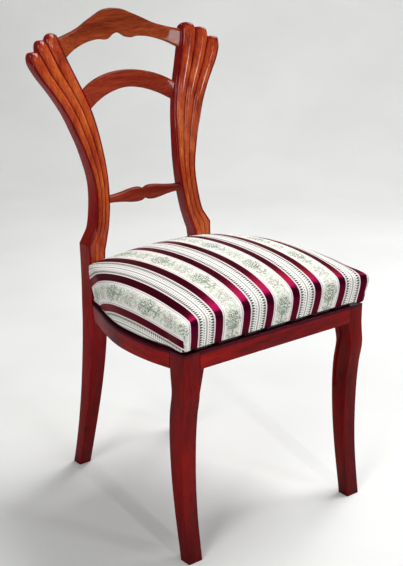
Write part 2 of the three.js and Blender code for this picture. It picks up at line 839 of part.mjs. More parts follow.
// Members of the slip seat's frame: the sides run between the front and rear members on stub tenons
function slipTenon(side, end, spare) {
  const atFront = end === 'front';
  const edge = atFront ? frameInset + slipMemberWidth : planDepth - frameRearInset - slipMemberWidth;
  const middle = side * (railOuterX(edge) - frameInset - slipMemberWidth / 2);
  const low = frameBottom + (slipFrameHeight - slipTenonThickness) / 2;
  const nearY = atFront ? edge - slipTenonLength : edge - slipTenonWidth;
  const farY = atFront ? edge + slipTenonWidth : edge + slipTenonLength;
  return tenonBlock(
    new THREE.Vector3(middle - slipTenonWidth / 2, nearY, low),
    new THREE.Vector3(middle + slipTenonWidth / 2, farY, low + slipTenonThickness),
    spare,
  );
}

function slipFrameRing() {
  const outer = solidOf(plate(seatOutline(frameInset, frameRearInset), frameBottom, frameTop));
  const inner = seatOutline(frameInset + slipMemberWidth, frameRearInset + slipMemberWidth);
  return outer.subtract(solidOf(plate(inner, frameBottom - cutOverrun, frameTop + cutOverrun)));
}

function slipZone(lowX, lowY, highX, highY) {
  return solidOf(block(
    new THREE.Vector3(lowX, lowY, frameBottom - cutOverrun),
    new THREE.Vector3(highX, highY, frameTop + cutOverrun),
  ));
}

function slipCross(end) {
  const atFront = end === 'front';
  const edge = atFront ? frameInset + slipMemberWidth : planDepth - frameRearInset - slipMemberWidth;
  const zone = atFront
    ? slipZone(-frontWidth, -cutOverrun, frontWidth, edge)
    : slipZone(-frontWidth, edge, frontWidth, planDepth + cutOverrun);
  const member = slipFrameRing().intersect(zone);
  return geometryOf(member.subtract(slipTenon(-1, end, jointGap)).subtract(slipTenon(1, end, jointGap)));
}

function slipSide(side) {
  const near = frameInset + slipMemberWidth + jointGap;
  const far = planDepth - frameRearInset - slipMemberWidth - jointGap;
  const zone = side < 0 ? slipZone(-frontWidth, near, 0, far) : slipZone(0, near, frontWidth, far);
  const member = slipFrameRing().intersect(zone);
  return geometryOf(member.add(slipTenon(side, 'front', 0)).add(slipTenon(side, 'rear', 0)));
}

// Webbing: straps across first, straps from front to back over them
function strapPlace(index, low, high) {
  return lerp(low, high, (index + 1) / (strapCount + 1));
}

function crossStrap(index) {
  const y = strapPlace(index, frameInset, planDepth - frameRearInset);
  const halfLength = railOuterX(y + strapWidth / 2) - frameInset - strapMargin;
  return block(
    new THREE.Vector3(-halfLength, y - strapWidth / 2, crossStrapBottom),
    new THREE.Vector3(halfLength, y + strapWidth / 2, crossStrapBottom + strapThickness),
  );
}

function longStrap(index) {
  const reach = rearHalf - frameInset;
  const x = strapPlace(index, -reach, reach);
  const near = frameInset + strapMargin;
  const far = planDepth - frameRearInset - strapMargin;
  return block(
    new THREE.Vector3(x - strapWidth / 2, near, longStrapBottom),
    new THREE.Vector3(x + strapWidth / 2, far, longStrapBottom + strapThickness),
  );
}

function baseCloth() {
  const outline = seatOutline(frameInset + clothMargin, frameRearInset + clothMargin);
  return plate(outline, clothBottom, clothBottom + clothThickness);
}

function dustCloth() {
  const inset = coverInset + coverTurnUnder + dustClothMargin;
  const rearInset = cushionRearGap + coverTurnUnder + dustClothMargin;
  const top = frameBottom - jointGap;
  return plate(seatOutline(inset, rearInset), top - clothThickness, top);
}

// The cushion swells out over the ledge, stands up all round and rises to a crown in the middle.
// Its back stays flat in front of the posts. The wall grows towards the back, so that the
// cushion's upper edge is level on the sloping frame.
const wallShare = curveThrough(cushionWallShares);
const wallInset = (share) => lerp(-cushionSwell, coverInset, wallShare(share));

// How near a point of the outline lies to a corner: 0 in the middle of a side, 1 at a corner.
// The crown falls away towards the corners.
function cornerShare(point) {
  const across = Math.abs(point.x) / railOuterX(point.y);
  const along = Math.abs(2 * point.y / planDepth - 1);
  return Math.min(across, along, 1);
}

function cushionRings(under, foot) {
  const wallAt = (depth) => cushionWall + seatFall * depth / planDepth;
  const footShare = Math.max(foot / wallAt(planDepth), 0);
  const rings = [];
  const outlineRing = (inset, heightOf) => {
    const outline = seatOutline(inset + under, cushionRearGap + under);
    return outline.map((point) => new THREE.Vector3(point.x, point.y, heightOf(point.y)));
  };
  rings.push(outlineRing(wallInset(footShare), () => foot));
  cushionWallShares.filter(([share]) => share >= footShare).forEach(([share]) => {
    rings.push(outlineRing(wallInset(share), (depth) => lerp(clothGap, wallAt(depth) - under, share)));
  });
  const middle = new THREE.Vector2(0, planDepth / 2);
  const edge = seatOutline(wallInset(1) + under, cushionRearGap + under);
  for (let step = 1; step <= cushionDomeSteps; step++) {
    const angle = (Math.PI / 2) * (step / cushionDomeSteps) * cushionTopShare;
    rings.push(edge.map((point) => {
      const inward = middle.clone().lerp(point, Math.cos(angle));
      const fall = Math.sqrt(1 - (Math.cos(angle) * cornerShare(point)) ** 2);
      const height = wallAt(inward.y) - under + cushionDome * Math.sin(angle) * fall;
      return new THREE.Vector3(inward.x, inward.y, height);
    }));
  }
  return rings;
}

function seatCover() {
  const outside = solidOf(loft(cushionRings(0, coverBottom)));
  const inside = solidOf(loft(cushionRings(coverThickness, coverBottom + coverThickness)));
  const mouthOutline = seatOutline(coverInset + coverTurnUnder, cushionRearGap + coverTurnUnder);
  const mouth = solidOf(plate(mouthOutline, coverBottom - cutOverrun, coverBottom + coverThickness + clothGap));
  return geometryOf(outside.subtract(inside).subtract(mouth));
}

function stuffing() {
  return loft(cushionRings(coverThickness + stuffingGap, stuffingBottom));
}

// Finishes
const polishedWood = { color: '#8a2b1c', roughness: 0.25, metalness: 0 };
const beech = { color: '#c79a63', roughness: 0.7, metalness: 0 };
const steel = { color: '#8d8a84', roughness: 0.4, metalness: 1 };
const jute = { color: '#b89a68', roughness: 0.95, metalness: 0 };
const hessian = { color: '#a98f63', roughness: 1, metalness: 0 };
const blackCloth = { color: '#1d1b1a', roughness: 1, metalness: 0 };
const fibre = { color: '#d9d0bd', roughness: 1, metalness: 0 };
const stripedFabric = { color: '#d8cfc6', roughness: 0.8, metalness: 0 };

function piece(name, geometry, finish) {
  const mesh = new THREE.Mesh(geometry, new THREE.MeshStandardMaterial(finish));
  mesh.name = name;
  return mesh;
}

// Everything that lies on the seat's sloping plane sits in a group that carries the slope
function seatGroup() {
  const group = new THREE.Group();
  group.applyMatrix4(seatMatrix);
  return group;
}

function buildFrame() {
  const frame = new THREE.Group();
  halves.forEach(([name, side]) => {
    frame.add(piece(`rear_post_${name}`, rearPost(side), polishedWood));
    frame.add(piece(`front_leg_${name}`, frontLeg(side), polishedWood));
    frame.add(piece(`side_rail_${name}`, sideRail(side), polishedWood));
  });
  frame.add(piece('front_rail', frontRail(), polishedWood));
  frame.add(piece('rear_rail', rearRail(), polishedWood));
  frame.add(piece('crest_rail', backRail(crest), polishedWood));
  frame.add(piece('arched_back_rail', backRail(arch), polishedWood));
  frame.add(piece('lower_back_bar', backRail(bar), polishedWood));
  return frame;
}

function buildCornerBlocks() {
  const group = seatGroup();
  cornerBlocks().forEach((corner) => {
    group.add(piece(corner.node, cornerBlock(corner), beech));
    corner.screws.forEach((screw, index) => {
      const name = corner.node.replace('corner_block', 'block_screw');
      group.add(piece(`${name}_${index + 1}`, blockScrew(screw), steel));
    });
  });
  return group;
}

function buildSlipSeat() {
  const group = seatGroup();
  group.add(piece('slip_frame_front', slipCross('front'), beech));
  group.add(piece('slip_frame_rear', slipCross('rear'), beech));
  halves.forEach(([name, side]) => {
    group.add(piece(`slip_frame_${name}`, slipSide(side), beech));
  });
  for (let index = 0; index < strapCount; index++) {
    group.add(piece(`webbing_cross_${index + 1}`, crossStrap(index), jute));
    group.add(piece(`webbing_long_${index + 1}`, longStrap(index), jute));
  }
  group.add(piece('base_cloth', baseCloth(), hessian));
  group.add(piece('seat_stuffing', stuffing(), fibre));
  group.add(piece('seat_cover', seatCover(), stripedFabric));
  group.add(piece('dust_cloth', dustCloth(), blackCloth));
  return group;
}

// The finished chair is set on the floor with its middle over the origin
const chair = new THREE.Group();
chair.add(buildFrame(), buildCornerBlocks(), buildSlipSeat());
chair.updateMatrixWorld(true);
const bounds = new THREE.Box3().setFromObject(chair, true);
const middle = bounds.getCenter(new THREE.Vector3());
chair.position.set(-middle.x, -middle.y, -bounds.min.z);

const model = new THREE.Group();
model.add(chair);

export default model;
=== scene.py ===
# %% [markdown]
# # A side chair with sabre legs and a striped drop-in seat
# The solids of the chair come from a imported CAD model. This lesson dresses them: finer wooden pieces, a French
# polish with real depth, and a sewn cushion in a woven stripe. First the frame is loaded and its box is kept.

# %% Load the frame
import math

import bmesh
import bpy
import numpy as np
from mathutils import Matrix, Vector


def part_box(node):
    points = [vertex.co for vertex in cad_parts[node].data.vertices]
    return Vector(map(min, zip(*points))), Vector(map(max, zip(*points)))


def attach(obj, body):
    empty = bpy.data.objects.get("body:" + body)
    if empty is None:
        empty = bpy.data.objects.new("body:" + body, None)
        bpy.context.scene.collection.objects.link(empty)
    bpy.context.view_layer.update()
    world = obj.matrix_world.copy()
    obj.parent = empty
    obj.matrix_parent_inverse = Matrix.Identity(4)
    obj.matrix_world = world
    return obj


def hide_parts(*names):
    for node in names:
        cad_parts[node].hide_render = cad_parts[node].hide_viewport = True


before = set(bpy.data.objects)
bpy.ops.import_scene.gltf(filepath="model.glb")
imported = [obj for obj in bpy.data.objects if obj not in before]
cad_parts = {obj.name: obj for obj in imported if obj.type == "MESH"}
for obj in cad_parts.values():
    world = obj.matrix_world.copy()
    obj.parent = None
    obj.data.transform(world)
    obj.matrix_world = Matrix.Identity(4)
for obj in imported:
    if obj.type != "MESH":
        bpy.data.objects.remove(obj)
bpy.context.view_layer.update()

# %% [markdown]
# The chair was drawn with y = 0 midway between the front rail's face and the back legs' faces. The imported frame
# has its origin under the middle of the box, so every point drawn here is moved by that difference.

# %% Chair coordinates
MM = 0.001
SEAT_DEPTH = 366.0
FRONT_Y = -SEAT_DEPTH / 2
REAR_Y = SEAT_DEPTH / 2
SHIFT_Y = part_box("front_rail")[0][1] / MM - FRONT_Y
print("chair coordinates are moved by", round(SHIFT_Y, 2), "mm along Y")

SEAT_HEIGHT = 387.0
SEAT_FALL = 21.5
FRONT_HALF = 209.5
REAR_HALF = 148.0
RAIL_HEIGHT = 32.0
RAIL_THICK = 26.0
LEDGE = 13.0
WELL = 12.0
GAP = 0.3


def smooth(x, low, high):
    t = np.clip((np.asarray(x, float) - low) / (high - low), 0, 1)
    return t * t * (3 - 2 * t)


def mix(a, b, t):
    return a + (b - a) * t


def seat_z(y):
    """Height of the sloping seat plane above the floor at a depth y."""
    return SEAT_HEIGHT - SEAT_FALL * (y - FRONT_Y) / SEAT_DEPTH


# %% [markdown]
# Nearly every piece is a row of rings: a section is moved along the piece and each ring is joined to the next.
# The rings run out along one side of the section and back along the other, so a ladder of quads closes the ends
# even where the end is not flat. Edges sharper than 32 degrees keep a hard line in the shading.

# %% Building helpers
def curve(pairs):
    """A smooth curve through pairs of place and value."""
    places, values = (np.array(c, float) for c in zip(*pairs))
    slopes = np.empty_like(values)
    slopes[1:-1] = (values[2:] - values[:-2]) / (places[2:] - places[:-2])
    slopes[0] = (values[1] - values[0]) / (places[1] - places[0])
    slopes[-1] = (values[-1] - values[-2]) / (places[-1] - places[-2])

    def at(x):
        x = np.asarray(x, float)
        k = np.clip(np.searchsorted(places, x, side="right") - 1, 0, len(places) - 2)
        span = places[k + 1] - places[k]
        t = (x - places[k]) / span
        rise = (2 * t**3 - 3 * t**2 + 1) * values[k] + (3 * t**2 - 2 * t**3) * values[k + 1]
        return rise + ((t**3 - 2 * t**2 + t) * slopes[k] + (t**3 - t**2) * slopes[k + 1]) * span
    return at


def new_object(name, points, faces, material, uv=None, sharp=32, values=None):
    """A mesh object from points in chair millimetres. values gives an attribute with one number a point."""
    points = np.asarray(points, float).copy()
    points[:, 1] += SHIFT_Y
    mesh = bpy.data.meshes.new(name)
    mesh.from_pydata((points * MM).tolist(), [], [list(map(int, f)) for f in faces])
    if uv is not None:
        layer = mesh.uv_layers.new(name="cloth")
        layer.data.foreach_set("uv", np.asarray(uv, float).ravel())
    for title, numbers in (values or {}).items():
        mesh.attributes.new(title, "FLOAT", "POINT").data.foreach_set("value", np.asarray(numbers, float))
    bm = bmesh.new()
    bm.from_mesh(mesh)
    bmesh.ops.remove_doubles(bm, verts=bm.verts, dist=1e-6)
    bmesh.ops.recalc_face_normals(bm, faces=bm.faces)
    for edge in bm.edges:
        edge.smooth = len(edge.link_faces) == 2 and edge.calc_face_angle(0) < math.radians(sharp)
    for face in bm.faces:
        face.smooth = True
    bm.to_mesh(mesh)
    bm.free()
    mesh.materials.append(material)
    piece = bpy.data.objects.new(name, mesh)
    bpy.context.scene.collection.objects.link(piece)
    return piece


def loft(rings):
    """Points and faces of a closed skin over rings of equal size."""
    rings = np.asarray(rings, float)
    count, size = rings.shape[:2]
    faces = []
    for r in range(count - 1):
        a, b = r * size, (r + 1) * size
        faces += [(a + k, a + (k + 1) % size, b + (k + 1) % size, b + k) for k in range(size)]
    last = (count - 1) * size
    for k in range(size // 2 - 1):
        faces.append((k, k + 1, size - 2 - k, size - 1 - k))
        faces.append((last + k, last + k + 1, last + size - 2 - k, last + size - 1 - k))
    return rings.reshape(-1, 3), faces


def rounded(corners, radii, steps=4):
    """Points of a polygon whose corners are rounded, each by its own radius."""
    corners = np.asarray(corners, float)
    result = []
    for k, corner in enumerate(corners):
        before = corners[k - 1] - corner
        after = corners[(k + 1) % len(corners)] - corner
        before, after = before / np.linalg.norm(before), after / np.linalg.norm(after)
        if radii[k] == 0:
            result.append(corner)
            continue
        half = math.acos(np.clip(before @ after, -1, 1)) / 2
        reach = radii[k] / math.tan(half)
        centre = corner + (before + after) / np.linalg.norm(before + after) * radii[k] / math.sin(half)
        start, end = corner + before * reach - centre, corner + after * reach - centre
        turn = math.acos(np.clip(start @ end / radii[k] ** 2, -1, 1))
        for step in range(steps + 1):
            t = step / steps
            result.append(centre + (start * math.sin((1 - t) * turn) + end * math.sin(t * turn)) / math.sin(turn))
    return np.array(result)


# %% [markdown]
# A material starts as a hex colour from a paint card. Those are written for a screen (sRGB), and the renderer
# wants linear light, so one function converts them. A second small function adds a node with its settings.

# %% Colour and node helpers
def linear(hex_colour):
    parts = [int(hex_colour[k:k + 2], 16) / 255 for k in (1, 3, 5)]
    return tuple(c / 12.92 if c <= 0.04045 else ((c + 0.055) / 1.055) ** 2.4 for c in parts) + (1.0,)


def add(tree, kind, inputs=None, **settings):
    """Adds one node. An input takes a plain value, or a socket that is linked to it."""
    node = tree.nodes.new(kind)
    for key, value in settings.items():
        setattr(node, key, value)
    for key, value in (inputs or {}).items():
        if isinstance(value, bpy.types.NodeSocket):
            tree.links.new(value, node.inputs[key])
        else:
            node.inputs[key].default_value = value
    return node


def ramp(tree, factor, stops, interpolation="LINEAR"):
    """A colour ramp from a list of place and colour."""
    node = add(tree, "ShaderNodeValToRGB", {"Fac": factor})
    node.color_ramp.interpolation = interpolation
    while len(node.color_ramp.elements) < len(stops):
        node.color_ramp.elements.new(0.5)
    for element, (place, colour) in zip(node.color_ramp.elements, stops):
        element.position = place
        element.color = linear(colour) if isinstance(colour, str) else (colour, colour, colour, 1)
    return node.outputs["Color"]


def calc(tree, operation, *values):
    """One step of arithmetic on numbers or sockets."""
    return add(tree, "ShaderNodeMath", dict(enumerate(values)), operation=operation).outputs[0]


def new_material(name):
    material = bpy.data.materials.new(name)
    material.use_nodes = True
    material.node_tree.nodes.clear()
    return material, material.node_tree


def finish_surface(tree, shader):
    out = add(tree, "ShaderNodeOutputMaterial")
    tree.links.new(shader.outputs[0], out.inputs["Surface"])


# %% [markdown]
# ## French-polished mahogany
# The real chair is a red-stained hardwood under many thin coats of shellac. The eye sees three layers: broad
# flame-like bands of lighter and darker brown along the grain, fine dark pores about a third of a millimetre
# wide and some millimetres long, and over it all a hard, clear gloss. The pores are drawn a little wider than
# real, because a thinner line would not show. The grain runs along one axis of each board. Years of light and
# dusting have bleached the fronts of the back posts to an orange brown, while their sides and grooves stayed a
# deep red. On the seat rails and the tops of the front legs a dark line along the ledge is painted shade, where
# the cushion overhangs it. An attribute on the mesh, from 0 to 1, marks the bleaching on the posts and the
# painted shade on the rails and legs. Near the floor the wood is darkened with painted shade.

# %% Wood material
def wood_tones(tree, tone, pore_mask, tones):
    """Dark, middle and light wood by the grain, with the pores drawn in."""
    dark, mid, light = tones
    colour = ramp(tree, tone, [(0.30, dark), (0.5, mid), (0.70, light)])
    return add(tree, "ShaderNodeMix", {0: calc(tree, "MULTIPLY", pore_mask, 0.42), 6: colour,
                                       7: linear("#23060A")}, data_type="RGBA").outputs[2]


def polished_mahogany(name, grain_axis, tones, upper_tones=None, wear_and_shade_tones=None):
    """Wood whose grain runs along grain_axis: x, y or z. The upper tones take over above the seat."""
    material, tree = new_material(name)
    place = add(tree, "ShaderNodeTexCoord").outputs["Object"]
    along = {"x": 0, "y": 1, "z": 2}[grain_axis]
    stretch = [1.0, 1.0, 1.0]
    stretch[along] = 0.12
    grain = add(tree, "ShaderNodeMapping", {"Vector": place, "Scale": stretch}).outputs[0]
    bands = add(tree, "ShaderNodeTexNoise", {"Vector": grain, "Scale": 34.0, "Detail": 5.0, "Roughness": 0.55,
                                             "Distortion": 0.9}).outputs["Fac"]
    fine = add(tree, "ShaderNodeTexNoise", {"Vector": grain, "Scale": 260.0, "Detail": 4.0, "Roughness": 0.6,
                                            "Distortion": 0.3}).outputs["Fac"]
    stretch[along] = 0.035
    pore_place = add(tree, "ShaderNodeMapping", {"Vector": place, "Scale": stretch}).outputs[0]
    pores = add(tree, "ShaderNodeTexNoise", {"Vector": pore_place, "Scale": 900.0, "Detail": 2.0,
                                             "Roughness": 0.5}).outputs["Fac"]
    cloud = add(tree, "ShaderNodeTexNoise", {"Vector": place, "Scale": 7.0, "Detail": 2.0}).outputs["Fac"]
    tone = calc(tree, "ADD", calc(tree, "MULTIPLY", bands, 0.62), calc(tree, "MULTIPLY", fine, 0.38))
    tone = calc(tree, "ADD", tone, calc(tree, "MULTIPLY", calc(tree, "SUBTRACT", cloud, 0.5), 0.35))
    pore_mask = ramp(tree, pores, [(0.36, 1.0), (0.45, 0.0)])
    colour = wood_tones(tree, tone, pore_mask, tones)
    height = add(tree, "ShaderNodeSeparateXYZ", {0: place}).outputs[2]

    def laid_over(below, factor, above):
        return add(tree, "ShaderNodeMix", {0: factor, 6: below, 7: above}, data_type="RGBA").outputs[2]

    gloss = SEAT_GLOSS
    if upper_tones:
        above_seat = add(tree, "ShaderNodeMapRange", {0: height, 1: 0.36, 2: 0.46}).outputs[0]
        colour = laid_over(colour, above_seat, wood_tones(tree, tone, pore_mask, upper_tones))
        gloss = add(tree, "ShaderNodeMapRange", {0: height, 1: 0.36, 2: 0.46, 3: SEAT_GLOSS, 4: POST_GLOSS}).outputs[0]
    # On the posts this lays the bleached tones, on the rails and legs the painted shade along the ledge
    if wear_and_shade_tones:
        wear_and_shade = add(tree, "ShaderNodeAttribute", attribute_name="wear_and_shade").outputs["Fac"]
        colour = laid_over(colour, wear_and_shade, wood_tones(tree, tone, pore_mask, wear_and_shade_tones))
    # Painted shade: the wood is darkened towards the floor
    floor_shade = add(tree, "ShaderNodeMapRange", {0: height, 1: 0.0, 2: 0.2, 3: 0.5, 4: 0.0}).outputs[0]
    colour = laid_over(colour, floor_shade, linear("#26040A"))
    bump = add(tree, "ShaderNodeBump", {"Height": fine, "Strength": 0.05, "Distance": 0.0006}).outputs[0]
    polish_waves = add(tree, "ShaderNodeTexNoise", {"Vector": place, "Scale": 55.0, "Detail": 1.0}).outputs["Fac"]
    coat_bump = add(tree, "ShaderNodeBump", {"Height": polish_waves, "Strength": 0.03, "Distance": 0.001}).outputs[0]
    rough = calc(tree, "ADD", 0.34, calc(tree, "MULTIPLY", fine, 0.16))
    shader = add(tree, "ShaderNodeBsdfPrincipled", {
        "Base Color": colour, "Roughness": rough, "IOR": 1.5, "Specular IOR Level": 0.0, "Coat Weight": gloss,
        "Coat Roughness": 0.035, "Coat IOR": 1.5, "Normal": bump, "Coat Normal": coat_bump})
    finish_surface(tree, shader)
    return material


# The share of the clear coat: hands have kept the polish of the back posts brighter than that of the legs.
SEAT_GLOSS = 0.21
POST_GLOSS = 0.5
DEEP_RED = ("#340103", "#6A0405", "#860C08")
RAIL_RED = ("#3E0204", "#840607", "#A0100B")
DARK_SIDE = ("#400403", "#800E09", "#9A1C10")
BROWN = ("#64220F", "#8C3A1C", "#AC582A")
ORANGE_BROWN = ("#6E1C0E", "#B0421C", "#D26E30")
# Tones of the painted shade along the ledge, under the cushion's overhang
LEDGE_SHADE = ("#2A0410", "#440919", "#560F20")
wood_post = polished_mahogany("french_polished_mahogany_upright", "z", RAIL_RED, DARK_SIDE, ORANGE_BROWN)
wood_leg = polished_mahogany("french_polished_mahogany_leg", "z", DEEP_RED, wear_and_shade_tones=LEDGE_SHADE)
wood_rail_x = polished_mahogany("french_polished_mahogany_rail_across", "x", RAIL_RED, wear_and_shade_tones=LEDGE_SHADE)
wood_rail_y = polished_mahogany("french_polished_mahogany_rail_deep", "y", RAIL_RED, wear_and_shade_tones=LEDGE_SHADE)
wood_arch = polished_mahogany("french_polished_mahogany_arch", "x", ("#561409", "#7E2618", "#983C24"))
wood_crest = polished_mahogany("french_polished_mahogany_crest", "x", BROWN)
print("wood materials:", [m.name for m in (wood_post, wood_leg, wood_rail_x, wood_rail_y, wood_arch, wood_crest)])

# %% [markdown]
# ## Back posts
# Each rear leg and its back post are one stick of wood. It is sawn in a sabre curve, narrows in a slanting
# shoulder above the seat, and then fans outwards. Its front is worked in three reeds with a thin beaded arris at
# each side, and every reed ends in a round lobe, each a step lower than the one inside it. A ring of points is
# set at every height, and near the top the rings follow the lobes' tops, so all the rounding is real shape.

# %% Back posts
POST_TOP = 864.5
CREST_TOP = 899.0
SWEEP_TOP = SEAT_HEIGHT - RAIL_HEIGHT - SEAT_FALL
SHOULDER = 477.5
SHOULDER_END = 502.5
outer_edge = curve([[0.237, 0.087], [0.279, 0.045], [0.348, 0.009], [0.392, 0], [0.431, 0.006], [0.485, 0.046],
                    [0.568, 0.138], [0.633, 0.234], [0.691, 0.327], [0.756, 0.467], [0.8, 0.58], [0.844, 0.7],
                    [0.894, 0.805], [1, 1]])
inner_edge = curve([[0.09, 0.475], [0.161, 0.41], [0.212, 0.25], [0.281, 0.12], [0.352, 0.036], [0.442, 0],
                    [0.519, 0.024], [0.62, 0.108], [0.692, 0.213], [0.747, 0.333], [0.823, 0.557],
                    [0.897, 0.775], [0.94, 0.888], [1, 1]])


def back_share(z):
    return (z - SEAT_HEIGHT) / (POST_TOP - SEAT_HEIGHT)


def post_face(z):
    below = np.maximum(1 - z / SWEEP_TOP, 0)
    above = np.maximum((z - SEAT_HEIGHT) / (CREST_TOP - SEAT_HEIGHT), 0)
    return REAR_Y + 61.5 * below**1.6 + 94.5 * above**1.6


def post_depth(z):
    leg = mix(25.0, 36.0, smooth(z, 0, SWEEP_TOP))
    return mix(leg, 20.0, smooth(z, SWEEP_TOP, SHOULDER_END + 240))


def post_outer(z):
    step = REAR_HALF - 17 * np.clip((z - SHOULDER) / (SHOULDER_END - SHOULDER), 0, 1)
    return np.where(z <= SHOULDER_END, step, mix(120.5, 241.0, outer_edge(back_share(z))))


def post_inner(z):
    leg = REAR_HALF - mix(26.5, 36.0, smooth(z, 0, SWEEP_TOP))
    return np.where(back_share(z) < 0.09, leg, mix(83.0, 144.0, inner_edge(back_share(z))))


def post_turn(z):
    return smooth(z, SHOULDER - 38, SHOULDER + 38)


def post_front(share, z):
    return post_face(z) - post_turn(z) * math.tan(math.radians(10.5)) * (post_outer(z) - post_inner(z)) * (share - 0.5)


def post_back(share, z):
    return post_front(share, z) + post_depth(z) * (1 + post_turn(z) * 0.3 * (share - 0.5))


LOBE_DROPS = [(0.1, 0, 0.235), (0.235, 0.22, 0.615), (0.615, 0.63, 1)]


def lobe_top(share):
    share = np.clip(share, 0, 1)
    reed = np.minimum((share * 3).astype(int), 2)
    across = share * 3 - reed
    inner, crown, outer = (np.array(c)[reed] for c in zip(*LOBE_DROPS))
    drop = np.where(across < 0.42,
                    mix(crown, inner, (1 - np.minimum(across / 0.42, 1)) ** 2.4),
                    mix(crown, outer, (np.maximum(across - 0.42, 0) / 0.58) ** 2.4))
    return POST_TOP - 46 * drop


ARRIS = 2.6
BEAD = 4.2
REED_COLUMNS = 13


def post_ring(height_of, rounding):
    """Front of the post from its inner edge outwards, then its back, at heights that may differ by column."""
    level = float(height_of(np.array([0.5]))[0])
    width = float(post_outer(level) - post_inner(level))
    depth = float(post_depth(level))
    arc = np.linspace(0, math.pi / 2, 5)
    corner_x, corner_y = ARRIS * (1 - np.cos(arc)), ARRIS * (1 - np.sin(arc))
    reeds = (1 - np.cos(np.linspace(0, math.pi, REED_COLUMNS))) / 2
    field = width - 2 * BEAD
    front_x = np.concatenate([corner_x] + [BEAD + field * (k + reeds) / 3 for k in range(3)]
                             + [width - corner_x[::-1]])
    z = height_of(front_x / width)
    fade = smooth(z, SHOULDER, SHOULDER + 40)
    bulge = np.concatenate([np.zeros(5)] + [np.sqrt(np.maximum(1 - (2 * reeds - 1) ** 2, 0))] * 3 + [np.zeros(5)])
    groove = np.concatenate([np.zeros(5), np.full(3 * REED_COLUMNS, 1.3), np.zeros(5)])
    lift = groove * fade - bulge * (width / 3 * 0.18 + 1.3) * fade
    edge = np.concatenate([corner_y, np.zeros(3 * REED_COLUMNS), corner_y[::-1]])
    inset = 13 * (1 - math.sqrt(1 - rounding**2))
    share = front_x / width
    x = mix(post_inner(z), post_outer(z), share)
    front = np.stack([x, post_front(share, z) + edge + lift + inset * 0.35, z], 1)
    back_edge = np.minimum(edge * 1.3, depth / 3)
    back = np.stack([x, post_back(share, z) - back_edge - inset, z], 1)
    return np.concatenate([front, back[::-1]])


def rear_post(name, side):
    rings = [post_ring(lambda s, z=z: np.full_like(s, z), 0) for z in np.linspace(0, SHOULDER, 34)]
    for row in np.linspace(0, 1, 58):
        rings.append(post_ring(lambda s, row=row: mix(SHOULDER_END, lobe_top(s) - 13, row), 0))
    for row in np.linspace(0, 1, 9)[1:]:
        rise = math.sin(math.pi / 2 * row)
        rings.append(post_ring(lambda s, rise=rise: lobe_top(s) - 13 * (1 - rise), rise * 0.992))
    points, faces = loft(rings)
    points[:, 0] *= side
    reeds = (1 - np.cos(np.linspace(0, math.pi, REED_COLUMNS))) / 2
    front = np.concatenate([np.zeros(5), np.tile(smooth(np.minimum(reeds, 1 - reeds), 0, 0.13), 3), np.zeros(5)])
    bleached = np.tile(np.concatenate([front, np.zeros(len(front))]), len(rings))
    bleached *= smooth(points[:, 2], SEAT_HEIGHT - 15, SEAT_HEIGHT + 60)
    turned_over = np.concatenate([np.zeros(len(rings) - 8), smooth(np.linspace(0, 1, 9)[1:], 0.15, 0.7)])
    bleached *= 1 - np.repeat(turned_over, 2 * len(front))
    bleached *= 1 - 0.2 * smooth(points[:, 2], SEAT_HEIGHT + 300, POST_TOP - 20)
    return new_object(name, points, faces, wood_post, values={"wear_and_shade": bleached})


SIDES = [("left", -1), ("right", 1)]
posts = {}
for label, side in SIDES:
    posts[label] = rear_post(f"reeded_post_{label}", side)
    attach(posts[label], "chair_frame")
    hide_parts(f"rear_post_{label}")
print("posts:", len(posts["left"].data.polygons), "faces each")

# %% [markdown]
# ## Rails across the back
# Three rails join the posts. The crest rail is cut to a gable with hollow shoulders, and its underside has a
# small pointed notch between two hollows. The middle rail is a plain arch. The lower bar is carved as two long
# leaves. All of them bow backwards a little between the posts, and their edges are eased by the polisher's paper.

# %% Back rails
def back_rail(name, top, under, thick, set_back, bow, material, columns, round_edge, belly=0.0):
    rings = []
    for along in np.linspace(-1, 1, columns + 1):
        low, high = float(under(abs(along))), float(top(abs(along)))
        rows = 6
        front = [(0, low)] + [(0, mix(low, high, k / rows)) for k in range(1, rows)] + [(0, high)]
        back = [(thick, high)] + [(thick, mix(high, low, k / rows)) for k in range(1, rows)] + [(thick, low)]
        radii = [round_edge] + [0] * (rows - 1) + [round_edge] * 2 + [0] * (rows - 1) + [round_edge]
        section = rounded(front + back, radii, 4)
        middle = 1 - ((section[:, 1] - (low + high) / 2) / ((high - low) / 2)) ** 2
        depth = section[:, 0] - belly * np.clip(middle, 0, 1) * (section[:, 0] < thick / 2)
        z = section[:, 1]
        x = along * (post_inner(z) + 5)
        y = post_face(z) + set_back + bow * (1 - along**2) + depth
        ring = np.stack([x, y, z], 1)
        rings.append(np.roll(ring, -2, axis=0))
    points, faces = loft(rings)
    return new_object(name, points, faces, material)


crest_top = curve([[0, 0], [0.13, 0.03], [0.27, 0.13], [0.41, 0.235], [0.58, 0.365], [0.8, 0.47], [1, 0.54]])
crest_under = curve([[0, 0.52], [0.07, 0.555], [0.14, 0.628], [0.21, 0.65], [0.32, 0.628], [0.52, 0.67],
                     [0.76, 0.787], [1, 0.96]])
bar_leaf = curve([[0, 0.66], [0.08, 0.92], [0.2, 1], [0.36, 0.92], [0.56, 0.7], [0.78, 0.53], [1, 0.47]])
back_rails = {
    "crest_rail": back_rail("gabled_crest", lambda s: CREST_TOP - 86.5 * crest_top(s),
                            lambda s: CREST_TOP - 86.5 * crest_under(s), 12, 11, 15, wood_crest, 120, 1.8),
    "arched_back_rail": back_rail("arched_rail", lambda s: 785 - 32.5 * s**2,
                                  lambda s: 753.5 - 34.5 * s**1.7, 10, 11, 11, wood_arch, 72, 1.6),
    "lower_back_bar": back_rail("leaf_bar", lambda s: 554 + 13.5 * bar_leaf(s), lambda s: 554 - 13.5 * bar_leaf(s),
                                11, 7, 1, wood_arch, 100, 2.4, belly=2.0),
}
